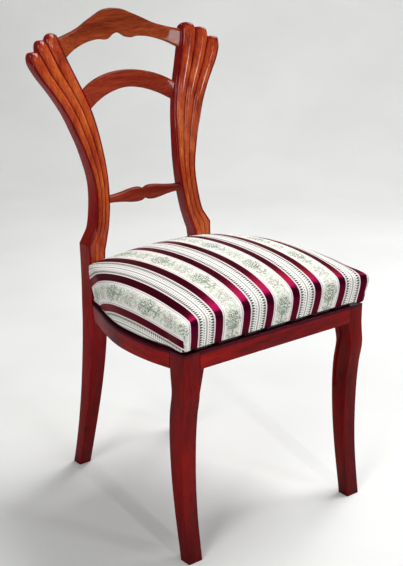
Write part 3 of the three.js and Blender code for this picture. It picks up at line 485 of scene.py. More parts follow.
for node, rail in back_rails.items():
    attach(rail, "chair_frame")
    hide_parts(node)
print("back rails:", [rail.name for rail in back_rails.values()])

# %% [markdown]
# ## Front legs
# The front legs are square sticks, flat outside, with a soft sweep on their front face: they hollow in below the
# rail and come forward again at the foot. A rounded square is moved up the leg and shrunk or moved at each step.
# Above the well's floor only the outer corner stands, because the drop-in seat needs the rest of the space.

# %% Front legs
leg_sweep = curve([[0, 1], [0.2, -0.15], [0.37, -0.65], [0.56, -0.65], [0.7, -0.25], [0.8, 0.38], [0.87, 0.15],
                   [0.91, 0], [1, 0]])


def painted_ledge_shade(points):
    """Painted shade under the cushion's overhang: 1 on the ledge and just under its edge, 0 lower down."""
    return smooth(points[:, 2] - seat_z(points[:, 1]), -6.6, -3.9)


def front_leg(name, side):
    rings = []
    for share in [*np.linspace(0, 0.983, 59), 0.99, 1]:
        front = FRONT_Y - 10 * float(leg_sweep(share))
        deep = float(mix(25.0, 41.0, smooth(share, 0, 0.8)))
        back = front + deep if share < 0.9 else FRONT_Y + 41
        inner = FRONT_HALF - float(mix(29.5, 33.0, smooth(share, 0.8, 0.9)))
        section = rounded([(inner, front), (FRONT_HALF, front), (FRONT_HALF, back), (inner, back)],
                          [1.5, 2.2, 1.5, 1.5], 4)
        top = seat_z(section[:, 1])
        z = np.where(share < 0.9, SEAT_HEIGHT * share, mix(SEAT_HEIGHT * 0.9, top, (share - 0.9) / 0.1))
        rings.append(np.roll(np.column_stack([section, z]), -2, axis=0))
    points, faces = loft(rings)
    points[:, 0] *= side
    return new_object(name, points, faces, wood_leg, values={"wear_and_shade": painted_ledge_shade(points)})


def well_cutter():
    """The space of the drop-in seat's rebate, as one block with sloping floor."""
    inset, corner, low = LEDGE, 10.0, -WELL
    plan = rounded([(-FRONT_HALF + inset, FRONT_Y + inset), (FRONT_HALF - inset, FRONT_Y + inset),
                    (FRONT_HALF - inset, 60), (-FRONT_HALF + inset, 60)], [corner, corner, 0, 0], 8)
    rings = [np.column_stack([plan, seat_z(plan[:, 1]) + level]) for level in (low, 40)]
    count = len(plan)
    faces = [tuple(range(count)), tuple(range(count, 2 * count))]
    faces += [(k, (k + 1) % count, count + (k + 1) % count, count + k) for k in range(count)]
    return new_object("well_cutter", np.concatenate(rings), faces, wood_leg)


def cut_by(piece, cutter):
    """Takes the cutter's shape out of a piece for good."""
    boolean = piece.modifiers.new("cut", "BOOLEAN")
    boolean.object = cutter
    boolean.operation = "DIFFERENCE"
    boolean.solver = "EXACT"
    mesh = bpy.data.meshes.new_from_object(piece.evaluated_get(bpy.context.evaluated_depsgraph_get()))
    piece.modifiers.clear()
    piece.data = mesh


cutter = well_cutter()
for label, side in SIDES:
    leg = front_leg(f"sabre_front_leg_{label}", side)
    cut_by(leg, cutter)
    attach(leg, "chair_frame")
    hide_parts(f"front_leg_{label}")
    print(leg.name, "faces:", len(leg.data.polygons))
bpy.data.objects.remove(cutter)

# %% [markdown]
# ## Seat rails
# A seat rail is an L in section: a thin outer lip, whose top is the ledge that shows around the cushion, and a
# shelf inside that carries the drop-in frame. The lip's outer edge is well rounded. The side rails are sawn in a
# serpentine: they swell outwards behind the front legs and then draw in to the narrower back.

# %% Seat rails
PLAN_DEPTH = math.hypot(SEAT_DEPTH, SEAT_FALL)
rail_bow = curve([[0, 1], [0.148, 1.06], [0.314, 1.035], [0.498, 0.9], [0.695, 0.59], [0.877, 0.225], [1, 0]])


def rail_outer(y):
    share = (np.asarray(y, float) - FRONT_Y - 41) / (SEAT_DEPTH - 41)
    return np.where(share < 0, FRONT_HALF, mix(REAR_HALF, FRONT_HALF, rail_bow(np.clip(share, 0, 1.2))))


def rail_section():
    """Distances inwards from the outer face, and heights over the seat plane."""
    section = rounded([(0, -RAIL_HEIGHT), (0, -6.6), (0, -3.9), (0, 0), (LEDGE, 0), (LEDGE, -WELL), (RAIL_THICK, -WELL),
                       (RAIL_THICK, -RAIL_HEIGHT)], [1.2, 0, 0, 2.8, 1, 0.4, 0.8, 0.8], 4)
    return section


def ladder_faces(count, size):
    faces = []
    for r in range(count - 1):
        a, b = r * size, (r + 1) * size
        faces += [(a + k, a + (k + 1) % size, b + (k + 1) % size, b + k) for k in range(size)]
    return faces + [tuple(range(size)), tuple(range((count - 1) * size, count * size))]


def side_rail(name, side):
    section = rail_section()
    rings = []
    for y in np.linspace(FRONT_Y + 41.3, REAR_Y - GAP, 56):
        x = float(rail_outer(y)) - section[:, 0]
        rings.append(np.column_stack([side * x, np.full(len(x), y), float(seat_z(y)) + section[:, 1]]))
    points = np.concatenate(rings)
    return new_object(name, points, ladder_faces(len(rings), len(section)), wood_rail_y,
                      values={"wear_and_shade": painted_ledge_shade(points)})


def cross_rail(name, half, face, inward):
    section = rail_section()
    rings = []
    for x in np.linspace(-half, half, 25):
        y = face + inward * section[:, 0]
        rings.append(np.column_stack([np.full(len(y), x), y, seat_z(y) + section[:, 1]]))
    points = np.concatenate(rings)
    return new_object(name, points, ladder_faces(len(rings), len(section)), wood_rail_x,
                      values={"wear_and_shade": painted_ledge_shade(points)})


seat_rails = {
    "side_rail_left": side_rail("serpentine_rail_left", -1),
    "side_rail_right": side_rail("serpentine_rail_right", 1),
    "front_rail": cross_rail("front_seat_rail", FRONT_HALF - 33.3, FRONT_Y, 1),
    "rear_rail": cross_rail("rear_seat_rail", REAR_HALF - 36.3, REAR_Y + LEDGE, -1),
}
for node, rail in seat_rails.items():
    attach(rail, "chair_frame")
    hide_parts(node)
print("seat rails:", [rail.name for rail in seat_rails.values()])

# %% [markdown]
# ## Striped satin cloth
# The seat is covered in a furnishing cloth woven in stripes that repeat every 114 mm: a cream stripe with small
# stippled bouquets, a burgundy satin stripe 16.5 mm wide, and a cream stripe with a dark centre line and two
# rows of small woven teeth. The cloth's own U is the distance across it from the middle stripe and V the
# distance along it, both in metres, so the pattern follows the cloth over the edges of the cushion. The satin
# threads float over the burgundy, and dyed silk shines in its own colour, so that stripe is partly metallic: it
# glows crimson where the cloth turns to the light and is nearly black where it hangs.

# %% Cloth drawing helpers
def step_down(tree, value, edge, soft):
    """1 where a value is under an edge, 0 where it is over it."""
    return add(tree, "ShaderNodeMapRange", {0: value, 1: edge - soft, 2: edge + soft, 3: 1.0, 4: 0.0}).outputs[0]


def ellipse(tree, a, b, centre_a, centre_b, radius_a, radius_b, soft=0.35):
    """1 inside an ellipse over two millimetre coordinates."""
    a = calc(tree, "DIVIDE", calc(tree, "SUBTRACT", a, centre_a), radius_a)
    b = calc(tree, "DIVIDE", calc(tree, "SUBTRACT", b, centre_b), radius_b)
    far = calc(tree, "ADD", calc(tree, "MULTIPLY", a, a), calc(tree, "MULTIPLY", b, b))
    return step_down(tree, far, 1, soft)


def joined(tree, masks):
    result = masks[0]
    for mask in masks[1:]:
        result = calc(tree, "MAXIMUM", result, mask)
    return result


def paint(tree, below, mask, colour, strength=1.0):
    """Lays a colour over another one where the mask is 1."""
    return add(tree, "ShaderNodeMix", {0: calc(tree, "MULTIPLY", mask, strength), 6: below, 7: linear(colour)},
               data_type="RGBA").outputs[2]


# %% Cloth material
REPEAT = 114.0
TOOTH_PITCH = 4.9
# A bouquet, as ellipses: distance from the stripe's middle, place along it, and the two radii in millimetres
FAN = [(0, 20, 13, 15), (7, 10, 7, 9), (4, 30, 8, 7), (13, 18, 4, 8)]
STEM = [(0, 2, 2.4, 9), (2.6, 6, 2.6, 4), (0, -10, 1.5, 8), (5, -13, 3.4, 2.2), (10, -9, 3, 1.8), (0, -19, 4.5, 1.6)]
SPRIG = [(3, 62, 6, 5), (8, 70, 4, 6), (2, 78, 3, 6), (10, 58, 3, 3)]


def striped_satin(name):
    material, tree = new_material(name)
    uv = add(tree, "ShaderNodeUVMap", uv_map="cloth").outputs[0]
    parts = add(tree, "ShaderNodeSeparateXYZ", {0: uv}).outputs
    u = calc(tree, "MULTIPLY", parts[0], 1000.0)
    v = calc(tree, "MULTIPLY", parts[1], 1000.0)
    fold = calc(tree, "PINGPONG", u, REPEAT / 2)

    def band(centre, half, soft=0.35):
        """1 inside a stripe around a distance from the middle of the repeat, 0 outside."""
        return step_down(tree, calc(tree, "ABSOLUTE", calc(tree, "SUBTRACT", fold, centre)), half, soft)

    burgundy = band(30.5, 8.2)
    rose_lines = joined(tree, [band(21.2, 1.1), band(39.8, 1.1)])
    grey_lines = joined(tree, [band(19.4, 0.45), band(41.6, 0.45), band(56.4, 0.55)])
    # Beside the satin stripe a row of woven teeth that point to the dark centre line, and a dot between each two
    tooth = calc(tree, "ADD", calc(tree, "PINGPONG", v, TOOTH_PITCH / 2),
                 calc(tree, "MULTIPLY", calc(tree, "SUBTRACT", fold, 42.4), 0.3))
    teeth = calc(tree, "MULTIPLY", step_down(tree, tooth, 2.2, 0.3), band(45.7, 3.3))
    between = calc(tree, "PINGPONG", calc(tree, "ADD", v, TOOTH_PITCH / 2), TOOTH_PITCH / 2)
    dots = ellipse(tree, fold, between, 51.2, 0.0, 1.5, 1.2)
    # The bouquets are stippled. Real dots are a millimetre wide, these are drawn at two so that they show
    phase = calc(tree, "ADD", calc(tree, "WRAP", calc(tree, "ADD", v, 60.0), REPEAT, 0.0), -30.0)
    across = calc(tree, "ABSOLUTE", calc(tree, "SUBTRACT", calc(tree, "WRAP", calc(tree, "ADD", u, REPEAT / 2),
                                                                REPEAT, 0.0), REPEAT / 2))
    cloth_place = add(tree, "ShaderNodeCombineXYZ", {0: u, 1: v}).outputs[0]
    points = add(tree, "ShaderNodeTexVoronoi", {"Vector": cloth_place, "Scale": 0.31, "Randomness": 0.85},
                 voronoi_dimensions="2D").outputs["Distance"]
    stipple = step_down(tree, points, 0.38, 0.07)
    fan = joined(tree, [ellipse(tree, across, phase, *e, soft=0.8) for e in FAN])
    stem = joined(tree, [ellipse(tree, across, phase, *e) for e in STEM])
    sprig = joined(tree, [ellipse(tree, across, phase, *e, soft=0.7) for e in SPRIG])
    clump = add(tree, "ShaderNodeTexNoise", {"Vector": cloth_place, "Scale": 0.16, "Detail": 2.0}).outputs["Fac"]
    clump = calc(tree, "SUBTRACT", 1.0, step_down(tree, clump, 0.47, 0.09))
    scatter = calc(tree, "MULTIPLY", calc(tree, "MULTIPLY", step_down(tree, across, 16, 2), stipple),
                   calc(tree, "MULTIPLY", clump, 0.5))

    drift = add(tree, "ShaderNodeTexNoise", {"Vector": cloth_place, "Scale": 0.035, "Detail": 2.0}).outputs["Fac"]
    cream = add(tree, "ShaderNodeMix", {0: drift, 6: linear("#F2F0E9"), 7: linear("#F8F3EF")},
                data_type="RGBA").outputs[2]
    leafy = calc(tree, "MULTIPLY", step_down(tree, across, 12.5, 4.0), calc(tree, "ADD", 0.35, clump))
    colour = paint(tree, cream, leafy, "#D3DCC4", 0.5)
    colour = paint(tree, colour, fan, "#A9B8A4", 0.15)
    colour = paint(tree, colour, sprig, "#CFC0BC", 0.25)
    colour = paint(tree, colour, joined(tree, [calc(tree, "MULTIPLY", fan, stipple), scatter]), "#43584A", 0.85)
    colour = paint(tree, colour, calc(tree, "MULTIPLY", sprig, stipple), "#8C8A84", 0.6)
    colour = paint(tree, colour, stem, "#6C7F6E", 0.6)
    colour = paint(tree, colour, dots, "#64776A", 0.8)
    colour = paint(tree, colour, teeth, "#1E2622", 1.0)
    colour = paint(tree, colour, grey_lines, "#5F645E", 0.85)
    colour = paint(tree, colour, rose_lines, "#F4E1E2", 0.9)
    colour = paint(tree, colour, burgundy, "#4F0425")
    # Painted shade on the cloth's foot, which is tucked under the fold of the wall
    tucked_shade = add(tree, "ShaderNodeAttribute", attribute_name="tucked_shade").outputs["Fac"]
    colour = paint(tree, colour, tucked_shade, "#2E2428", 0.8)
    # Threads: satin floats along V on the burgundy, a plain rib on the cream. Drawn at 0.8 mm, twice real size
    warp = calc(tree, "PINGPONG", u, 0.4)
    weft = calc(tree, "PINGPONG", v, 0.4)
    thread = calc(tree, "ADD", calc(tree, "MULTIPLY", warp, 1.2), weft)
    thread = calc(tree, "MULTIPLY", thread, calc(tree, "SUBTRACT", 1.0, calc(tree, "MULTIPLY", burgundy, 0.7)))
    raised = calc(tree, "ADD", thread, calc(tree, "MULTIPLY", joined(tree, [teeth, stem, dots]), 0.5))
    raised = calc(tree, "ADD", raised, calc(tree, "MULTIPLY", burgundy, 0.5))
    bump = add(tree, "ShaderNodeBump", {"Height": raised, "Strength": 0.35, "Distance": 0.0004}).outputs[0]
    rough = calc(tree, "SUBTRACT", 0.7, calc(tree, "MULTIPLY", burgundy, 0.42))
    shader = add(tree, "ShaderNodeBsdfPrincipled", {
        "Base Color": colour, "Roughness": rough, "Metallic": calc(tree, "MULTIPLY", burgundy, 0.8), "IOR": 1.45,
        "Specular IOR Level": 0.1, "Specular Tint": linear("#C8145C"), "Sheen Weight": 0.02, "Sheen Roughness": 0.4, "Normal": bump})
    finish_surface(tree, shader)
    return material


satin = striped_satin("woven_striped_satin")
print("cloth material nodes:", len(satin.node_tree.nodes))

# %% [markdown]
# ## The cushion's cover
# The cover is sewn tight over a sprung and stuffed seat. Seen from above it follows the rails, in section it has
# an upright wall that swells out over the ledge, a soft turn, and a crown that falls away towards the corners.
# The top is a grid whose height follows a product of two half circles, so it is full in the middle and flat
# along all four edges, and the wall is a band of rings hung from the grid's border. The cloth is cut so that the
# stripes run straight from back to front and down the front wall, and at each front corner it is folded.

# %% Cushion shape
DOME = 52.0
WALL = 52.0
SWELL = 7.0
REAR_GAP = 3.5
CORNER_TURN = 2.0
CORNER_RISE = 2.0
COVER_INSET = 14.2
COVER_BOTTOM = -WELL + 0.3
MIDDLE = SEAT_DEPTH / 2
wall_profile = curve([[0, 0.56], [0.1, 0.5], [0.25, 0.4], [0.4, 0.3], [0.6, 0.16], [0.77, 0.06], [0.9, 0.01], [1, 0]])
CORNER_EAR = 7.0
FOOT_EAR = 9.5
CREASE = 1.2
CORNER_DROP = 4.4
CLOTH_SHIFT = 6.0


def wall_height(depth):
    return WALL + SEAT_FALL * depth / SEAT_DEPTH


def seat_point(x, depth, height):
    """From seat coordinates, which lie on the sloping plane, to chair millimetres."""
    tilt = math.atan2(SEAT_FALL, SEAT_DEPTH)
    y = FRONT_Y + depth * math.cos(tilt) + height * math.sin(tilt)
    z = SEAT_HEIGHT - depth * math.sin(tilt) + height * math.cos(tilt)
    return np.stack(np.broadcast_arrays(x, y, z), -1)


def spread(count):
    """Places from -1 to 1 that lie closer together near both ends."""
    angles = np.linspace(-1, 1, count + 1) * math.pi / 2 * 0.86
    return np.sin(angles) / math.sin(math.pi / 2 * 0.86)


COLUMNS, ROWS = 72, 64
X, Y = np.meshgrid(spread(COLUMNS), spread(ROWS), indexing="ij")
corner_power = 38.0
reach = np.maximum(np.abs(X), np.abs(Y))
reach[reach == 0] = 1
pull = (np.abs(X / reach) ** corner_power + np.abs(Y / reach) ** corner_power + 1e-12) ** (-1 / corner_power)
pull = np.minimum(pull, 1)
X, Y = X * pull, Y * pull


def plan_point(X, Y, inset, rear_inset, ear=CORNER_EAR):
    """Width and depth on the seat plane of a place in the cushion's unit square."""
    near, far = inset, PLAN_DEPTH - rear_inset
    depth = (near + far) / 2 + Y * (far - near) / 2
    half = rail_outer(FRONT_Y + np.clip(depth, 0, SEAT_DEPTH)) - inset
    ear = ear * np.abs(X) ** 14 * smooth(-Y, 0.7, 1)
    return X * half + ear * np.sign(X), depth - ear * 0.9


def near_corner(X, Y):
    """1 at the cushion's four corners, where the cloth is pulled over the edge in a rounder turn."""
    return smooth(np.abs(X * Y), 0.5, 0.98)


def top_grid(under=0.0):
    corner = near_corner(X, Y)
    x, depth = plan_point(X, Y, -SWELL + CORNER_TURN * corner + under, REAR_GAP + under)
    crown = DOME * np.maximum((1 - X**2) * (1 - Y**2), 0) ** 0.47
    return x, depth, wall_height(depth) + CORNER_RISE * corner - under + crown


def border(grid):
    """The border of a grid as one closed loop, from the front left corner to the right and on around."""
    return np.concatenate([grid[:-1, 0], grid[-1, :-1], grid[:0:-1, -1], grid[0, :0:-1]])


def wall_rings(under, shares, foot):
    """Rings of the wall from just under the grid's border down to a foot height."""
    bx, by = border(X), border(Y)
    crease = np.zeros_like(bx)
    for corner in (0, COLUMNS):
        crease[[corner - 1, corner, corner + 1]] = 0.3, 1, 0.3
    rings = []
    corner = near_corner(bx, by)
    pulled_down = smooth(bx * np.abs(by), 0.84, 0.98)
    for share in shares:
        turned = CORNER_TURN * corner * max(share - 0.7, 0) ** 2 / 0.09
        inset = mix(-SWELL, COVER_INSET, float(wall_profile(share))) + turned
        ear = mix(FOOT_EAR, CORNER_EAR, share)
        x, depth = plan_point(bx, by, inset + under, REAR_GAP + under, ear)
        sewn = CREASE * crease * float(smooth(share, 0.8, 0.4))
        height = mix(0.4, wall_height(depth) + CORNER_RISE * corner - under, share)
        height = height - CORNER_DROP * pulled_down * float(smooth(share, 0.5, 0.2))
        rings.append((x - sewn * np.sign(x), depth + sewn, height))
    for extra, level, ear in foot:
        x, depth = plan_point(bx, by, COVER_INSET + extra + under, REAR_GAP + extra + under, ear)
        rings.append((x, depth, level * (1 - 0.6 * pulled_down * (level > 0))))
    return rings


def grid_faces(columns, rows, start=0, flip=False):
    index = start + np.arange((columns + 1) * (rows + 1)).reshape(columns + 1, rows + 1)
    faces = [(index[i, j], index[i + 1, j], index[i + 1, j + 1], index[i, j + 1])
             for i in range(columns) for j in range(rows)]
    return ([f[::-1] for f in faces] if flip else faces), index


# %% Cover mesh with its cloth coordinates
def cover_mesh():
    x, depth, height = top_grid()
    points = [seat_point(x, depth, height).reshape(-1, 3)]
    faces, index = grid_faces(COLUMNS, ROWS)
    across = np.hypot(np.diff(x, axis=0), np.diff(height, axis=0))
    across = np.concatenate([np.zeros((1, ROWS + 1)), np.cumsum(across, 0)])
    across -= across[COLUMNS // 2]
    along = np.hypot(np.diff(depth, axis=1), np.diff(height, axis=1))
    along = np.concatenate([np.zeros((COLUMNS + 1, 1)), np.cumsum(along, 1)], 1)
    uv = [[(across.flat[k], along.flat[k]) for k in face] for face in faces]

    shares = [0.96, 0.92, 0.87, 0.81, 0.74, 0.66, 0.57, 0.48, 0.39, 0.31, 0.25, 0.2, 0.17, 0.15]
    held = [smooth(np.maximum(np.abs(X), np.abs(Y)), 0.84, 0.985).ravel()]
    rings = wall_rings(0.0, shares, [(-10.5, 6.5, 8), (-9.4, 5.7, 7), (-5, 3.6, 4), (-1.2, 1.8, 1), (0, 0.6, 0), (0, -5, 0),
                                     (0, COVER_BOTTOM, 0), (7, COVER_BOTTOM, 0), (14, COVER_BOTTOM, 0)])
    loop = border(index)
    size = len(loop)
    for share in shares + [0] * (len(rings) - len(shares)):
        held.append(np.full(size, max(smooth(share, 0.8, 0.98), smooth(share, 0.36, 0.17))))
    last = seat_point(*(border(g) for g in (x, depth, height)))
    above, fall = loop, np.zeros(size)
    count = (COLUMNS + 1) * (ROWS + 1)
    edge_u, edge_v, edge_x, edge_d = border(across), border(along), border(x), border(depth)
    k = np.arange(size)
    front, right, back = k < COLUMNS, k < COLUMNS + ROWS, k < 2 * COLUMNS + ROWS

    def wall_cloth(ring, fall):
        """Cloth places of a ring of the wall, once for every side it may belong to."""
        straight = mix(edge_x, ring[0], 0.6)
        drawn = edge_v + mix(0, ring[1] - edge_d, 0.6)
        return {"front": (straight, -fall), "right": (edge_u + fall, drawn),
                "back": (straight, edge_v + fall), "left": (edge_u - fall, drawn)}

    places = wall_cloth((edge_x, edge_d), fall)
    for ring in rings:
        here = seat_point(*ring)
        points.append(here)
        below = count + np.arange(size)
        count += size
        fall = fall + np.linalg.norm(here - last, axis=1)
        further = wall_cloth(ring, fall)
        for k in range(size):
            n = (k + 1) % size
            part = "front" if front[k] else "right" if right[k] else "back" if back[k] else "left"
            faces.append((above[k], above[n], below[n], below[k]))
            uv.append([(row[part][0][m], row[part][1][m])
                       for row, m in ((places, k), (places, n), (further, n), (further, k))])
        above, places, last = below, further, here
    uv = np.array([p for face in uv for p in face]) - (CLOTH_SHIFT, 0)
    # The foot rings, tucked under the fold, are marked for painted shade
    tucked_shade = np.concatenate([np.zeros(count - size * (len(rings) - len(shares))),
                             np.ones(size * (len(rings) - len(shares)))])
    return np.concatenate(points), faces, uv * MM, np.concatenate(held), tucked_shade


points, faces, uv, held, tucked_shade = cover_mesh()
cover = new_object("striped_cushion_cover", points, faces, satin, uv=uv, sharp=75, values={"tucked_shade": tucked_shade})
print("cover:", len(cover.data.polygons), "faces")

# %% [markdown]
# A cloth simulation then settles the cover. The springs push from inside, which the simulation knows as pressure.
# The cloth is held where it is tacked, and along the hard edge roll that the upholsterer sews into such a seat, so
# the crown and the walls fill out between the two. Twenty frames are enough for it to come to rest. What moved is
# read from the evaluated mesh and kept to a few millimetres, so that the cushion keeps its size, and the modifier
# is removed afterwards.

# %% Settle the cover
PRESSURE = 4.0
STRETCH = 6.0
LARGEST_MOVE = 2.5
FRAMES = 20


def settle(piece, held):
    """Fills the cloth out between its held places, and writes the result into the mesh."""
    mesh = piece.data
    start = np.empty(len(mesh.vertices) * 3)
    mesh.vertices.foreach_get("co", start)
    group = piece.vertex_groups.new(name="held")
    for k in np.nonzero(held > 0)[0]:
        group.add([int(k)], float(held[k]), "REPLACE")
    cloth = piece.modifiers.new("cloth", "CLOTH")
    settings = cloth.settings
    settings.quality = 5
    settings.vertex_group_mass = group.name
    settings.use_pressure = True
    settings.uniform_pressure_force = PRESSURE
    settings.tension_stiffness = settings.compression_stiffness = STRETCH
    settings.shear_stiffness = STRETCH / 3
    settings.effector_weights.gravity = 0
    cloth.point_cache.frame_start, cloth.point_cache.frame_end = 1, FRAMES
    for number in range(1, FRAMES + 1):
        bpy.context.scene.frame_set(number)
    end = np.empty_like(start)
    piece.evaluated_get(bpy.context.evaluated_depsgraph_get()).data.vertices.foreach_get("co", end)
    piece.modifiers.remove(cloth)
    piece.vertex_groups.remove(group)
    bpy.context.scene.frame_set(1)
    move = (end - start).reshape(-1, 3)
    free = np.maximum(np.linalg.norm(move, axis=1, keepdims=True), 1e-9)
    limit = LARGEST_MOVE * MM
    kept = limit * np.tanh(free / limit)
    mesh.vertices.foreach_set("co", start + (move / free * kept).ravel())
    mesh.update()
    print("cover settled: free move", round(float(free.max()) / MM, 1), "mm, kept", round(float(kept.max()) / MM, 1))


settle(cover, held)
thick = cover.modifiers.new("cloth_thickness", "SOLIDIFY")
thick.thickness = 1.5 * MM
thick.offset = -1.0
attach(cover, "drop_in_seat")
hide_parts("seat_cover")

# %% [markdown]
# ## Under the cover
# The stuffing fills the cover, a coarse hessian and jute webbing carry it, and a thin black cloth keeps the dust
# out from below. They are seen only when the seat is lifted out or turned over, yet each is a piece of its own.

# %% Plain cloths and fibre
def woven(name, dark, light, pitch, depth, roughness=0.95):
    """A plain weave whose threads lie pitch millimetres apart."""
    material, tree = new_material(name)
    place = add(tree, "ShaderNodeTexCoord").outputs["Object"]
    parts = add(tree, "ShaderNodeSeparateXYZ", {0: place}).outputs
    lines = [calc(tree, "PINGPONG", calc(tree, "MULTIPLY", part, 1 / (pitch * MM)), 0.5) for part in parts[:2]]
    weave = calc(tree, "MULTIPLY", calc(tree, "ADD", lines[0], lines[1]), 1.0)
    uneven = add(tree, "ShaderNodeTexNoise", {"Vector": place, "Scale": 120.0, "Detail": 3.0}).outputs["Fac"]
    tone = calc(tree, "ADD", calc(tree, "MULTIPLY", weave, 0.6), calc(tree, "MULTIPLY", uneven, 0.4))
    colour = ramp(tree, tone, [(0.2, dark), (0.75, light)])
    bump = add(tree, "ShaderNodeBump", {"Height": weave, "Strength": 0.6, "Distance": depth * MM}).outputs[0]
    shader = add(tree, "ShaderNodeBsdfPrincipled", {"Base Color": colour, "Roughness": roughness, "Normal": bump,
                                                    "Sheen Weight": 0.2})
    finish_surface(tree, shader)
    return material


jute = woven("woven_jute_webbing", "#8A6B40", "#C9A873", 1.6, 0.4)
hessian = woven("plain_hessian", "#7D6238", "#B79A66", 1.3, 0.3)
black_calico = woven("black_cotton_calico", "#0E0D0D", "#2C2A2A", 0.9, 0.15)


def curled_fibre(name):
    """Curled coconut and cotton fibre: a tangle of pale and brown hairs."""
    material, tree = new_material(name)
    place = add(tree, "ShaderNodeTexCoord").outputs["Object"]
    tangle = add(tree, "ShaderNodeTexNoise", {"Vector": place, "Scale": 320.0, "Detail": 5.0, "Roughness": 0.7,
                                              "Distortion": 2.5}).outputs["Fac"]
    colour = ramp(tree, tangle, [(0.35, "#9C8760"), (0.6, "#E3D9C2")])
    bump = add(tree, "ShaderNodeBump", {"Height": tangle, "Strength": 0.8, "Distance": 0.001}).outputs[0]
    shader = add(tree, "ShaderNodeBsdfPrincipled", {"Base Color": colour, "Roughness": 1.0, "Normal": bump})
    finish_surface(tree, shader)
    return material


fibre = curled_fibre("curled_fibre_stuffing")

# %% Stuffing
STUFFING_FOOT = -WELL + 0.3 + 1.5 + 0.3 + 16 + 0.3 + 1.5 + 0.3 + 1.5 + 0.3 + 0.8 + 0.3


def stuffing_mesh():
    under = 3.6
    x, depth, height = top_grid(under)
    points = [seat_point(x, depth, height).reshape(-1, 3)]
    faces, index = grid_faces(COLUMNS, ROWS)
    shares = [0.97, 0.93, 0.82, 0.67, 0.49, 0.36, 0.28]
    rings = wall_rings(under, shares, [(-6, 10.6, 4), (-1.8, 9.6, 0)])
    x, depth = plan_point(X, Y, 10.0 + under, REAR_GAP + under, 0)
    foot = (x, depth, np.full_like(x, STUFFING_FOOT))
    above, size, count = border(index), len(border(index)), (COLUMNS + 1) * (ROWS + 1)
    for ring in rings:
        points.append(seat_point(*ring))
        below = count + np.arange(size)
        faces += [(above[k], above[(k + 1) % size], below[(k + 1) % size], below[k]) for k in range(size)]
        above, count = below, count + size
    points.append(seat_point(*foot).reshape(-1, 3))
    floor_faces, floor_index = grid_faces(COLUMNS, ROWS, count, flip=True)
    below = border(floor_index)
    faces += [(above[k], above[(k + 1) % size], below[(k + 1) % size], below[k]) for k in range(size)]
    return np.concatenate(points), faces + floor_faces


stuffing = new_object("curled_stuffing", *stuffing_mesh(), fibre, sharp=60)
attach(stuffing, "drop_in_seat")
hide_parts("seat_stuffing")

# %% Sheets under the stuffing
def flat_sheet(name, x, depth, bottom, thick, material, wave=0.0):
    """A thin closed sheet over a grid of plan places on the seat plane."""
    columns, rows = x.shape[0] - 1, x.shape[1] - 1
    lift = wave * np.sin(x / 23.0) * np.sin(depth / 31.0)
    faces, low = grid_faces(columns, rows, 0, flip=True)
    upper, high = grid_faces(columns, rows, low.size)
    a, b = border(low), border(high)
    faces += upper + [(a[k], a[(k + 1) % len(a)], b[(k + 1) % len(a)], b[k]) for k in range(len(a))]
    points = [seat_point(x, depth, bottom + lift).reshape(-1, 3), seat_point(x, depth, bottom + thick + lift).reshape(-1, 3)]
    return new_object(name, np.concatenate(points), faces, material)


FRAME_INSET = COVER_INSET + 1.5 + 0.3
FRAME_REAR = REAR_GAP + 1.5 + 0.3
FRAME_BOTTOM = COVER_BOTTOM + 1.5 + 0.3
CROSS_BOTTOM = FRAME_BOTTOM + 16.3
LONG_BOTTOM = CROSS_BOTTOM + 1.8
CLOTH_BOTTOM = LONG_BOTTOM + 1.8
straps = {}
for k in range(3):
    share = (k + 1) / 4
    d = mix(FRAME_INSET, PLAN_DEPTH - FRAME_REAR, share)
    half = float(rail_outer(FRONT_Y + d + 25)) - FRAME_INSET - 10
    x, depth = np.meshgrid(np.linspace(-half, half, 61), np.linspace(d - 25, d + 25, 11), indexing="ij")
    straps[f"webbing_cross_{k + 1}"] = (x, depth, CROSS_BOTTOM, (2 * half, 50))
    middle = mix(-(REAR_HALF - FRAME_INSET), REAR_HALF - FRAME_INSET, share)
    near, far = FRAME_INSET + 10, PLAN_DEPTH - FRAME_REAR - 10
    x, depth = np.meshgrid(np.linspace(middle - 25, middle + 25, 11), np.linspace(near, far, 61), indexing="ij")
    straps[f"webbing_long_{k + 1}"] = (x, depth, LONG_BOTTOM, (50, far - near))
for node, (x, depth, bottom, flat) in straps.items():
    strap = flat_sheet("jute_" + node, x, depth, bottom + 0.05, 1.4, jute, wave=0.04)
    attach(strap, "drop_in_seat")
    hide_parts(node)


def seat_cloth(name, node, inset, rear, bottom, thick, material, wave):
    x, depth = plan_point(X[::2, ::2], Y[::2, ::2], inset, rear, 0)
    cloth = flat_sheet(name, x, depth, bottom, thick, material, wave)
    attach(cloth, "drop_in_seat")
    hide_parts(node)
    return cloth


seat_cloth("hessian_base", "base_cloth", FRAME_INSET + 6, FRAME_REAR + 6, CLOTH_BOTTOM + 0.05, 0.7, hessian,
           0.04)
seat_cloth("black_dust_cloth", "dust_cloth", COVER_INSET + 18, REAR_GAP + 18, FRAME_BOTTOM - 1.05, 0.7,
           black_calico, 0.04)

# %% [markdown]
# ## Beech and steel under the seat
# Corner blocks and the drop-in frame are planed beech, left raw. Beech is pale with short dark flecks, a
# millimetre or two long. The screws are turned mild steel, dull from the years.

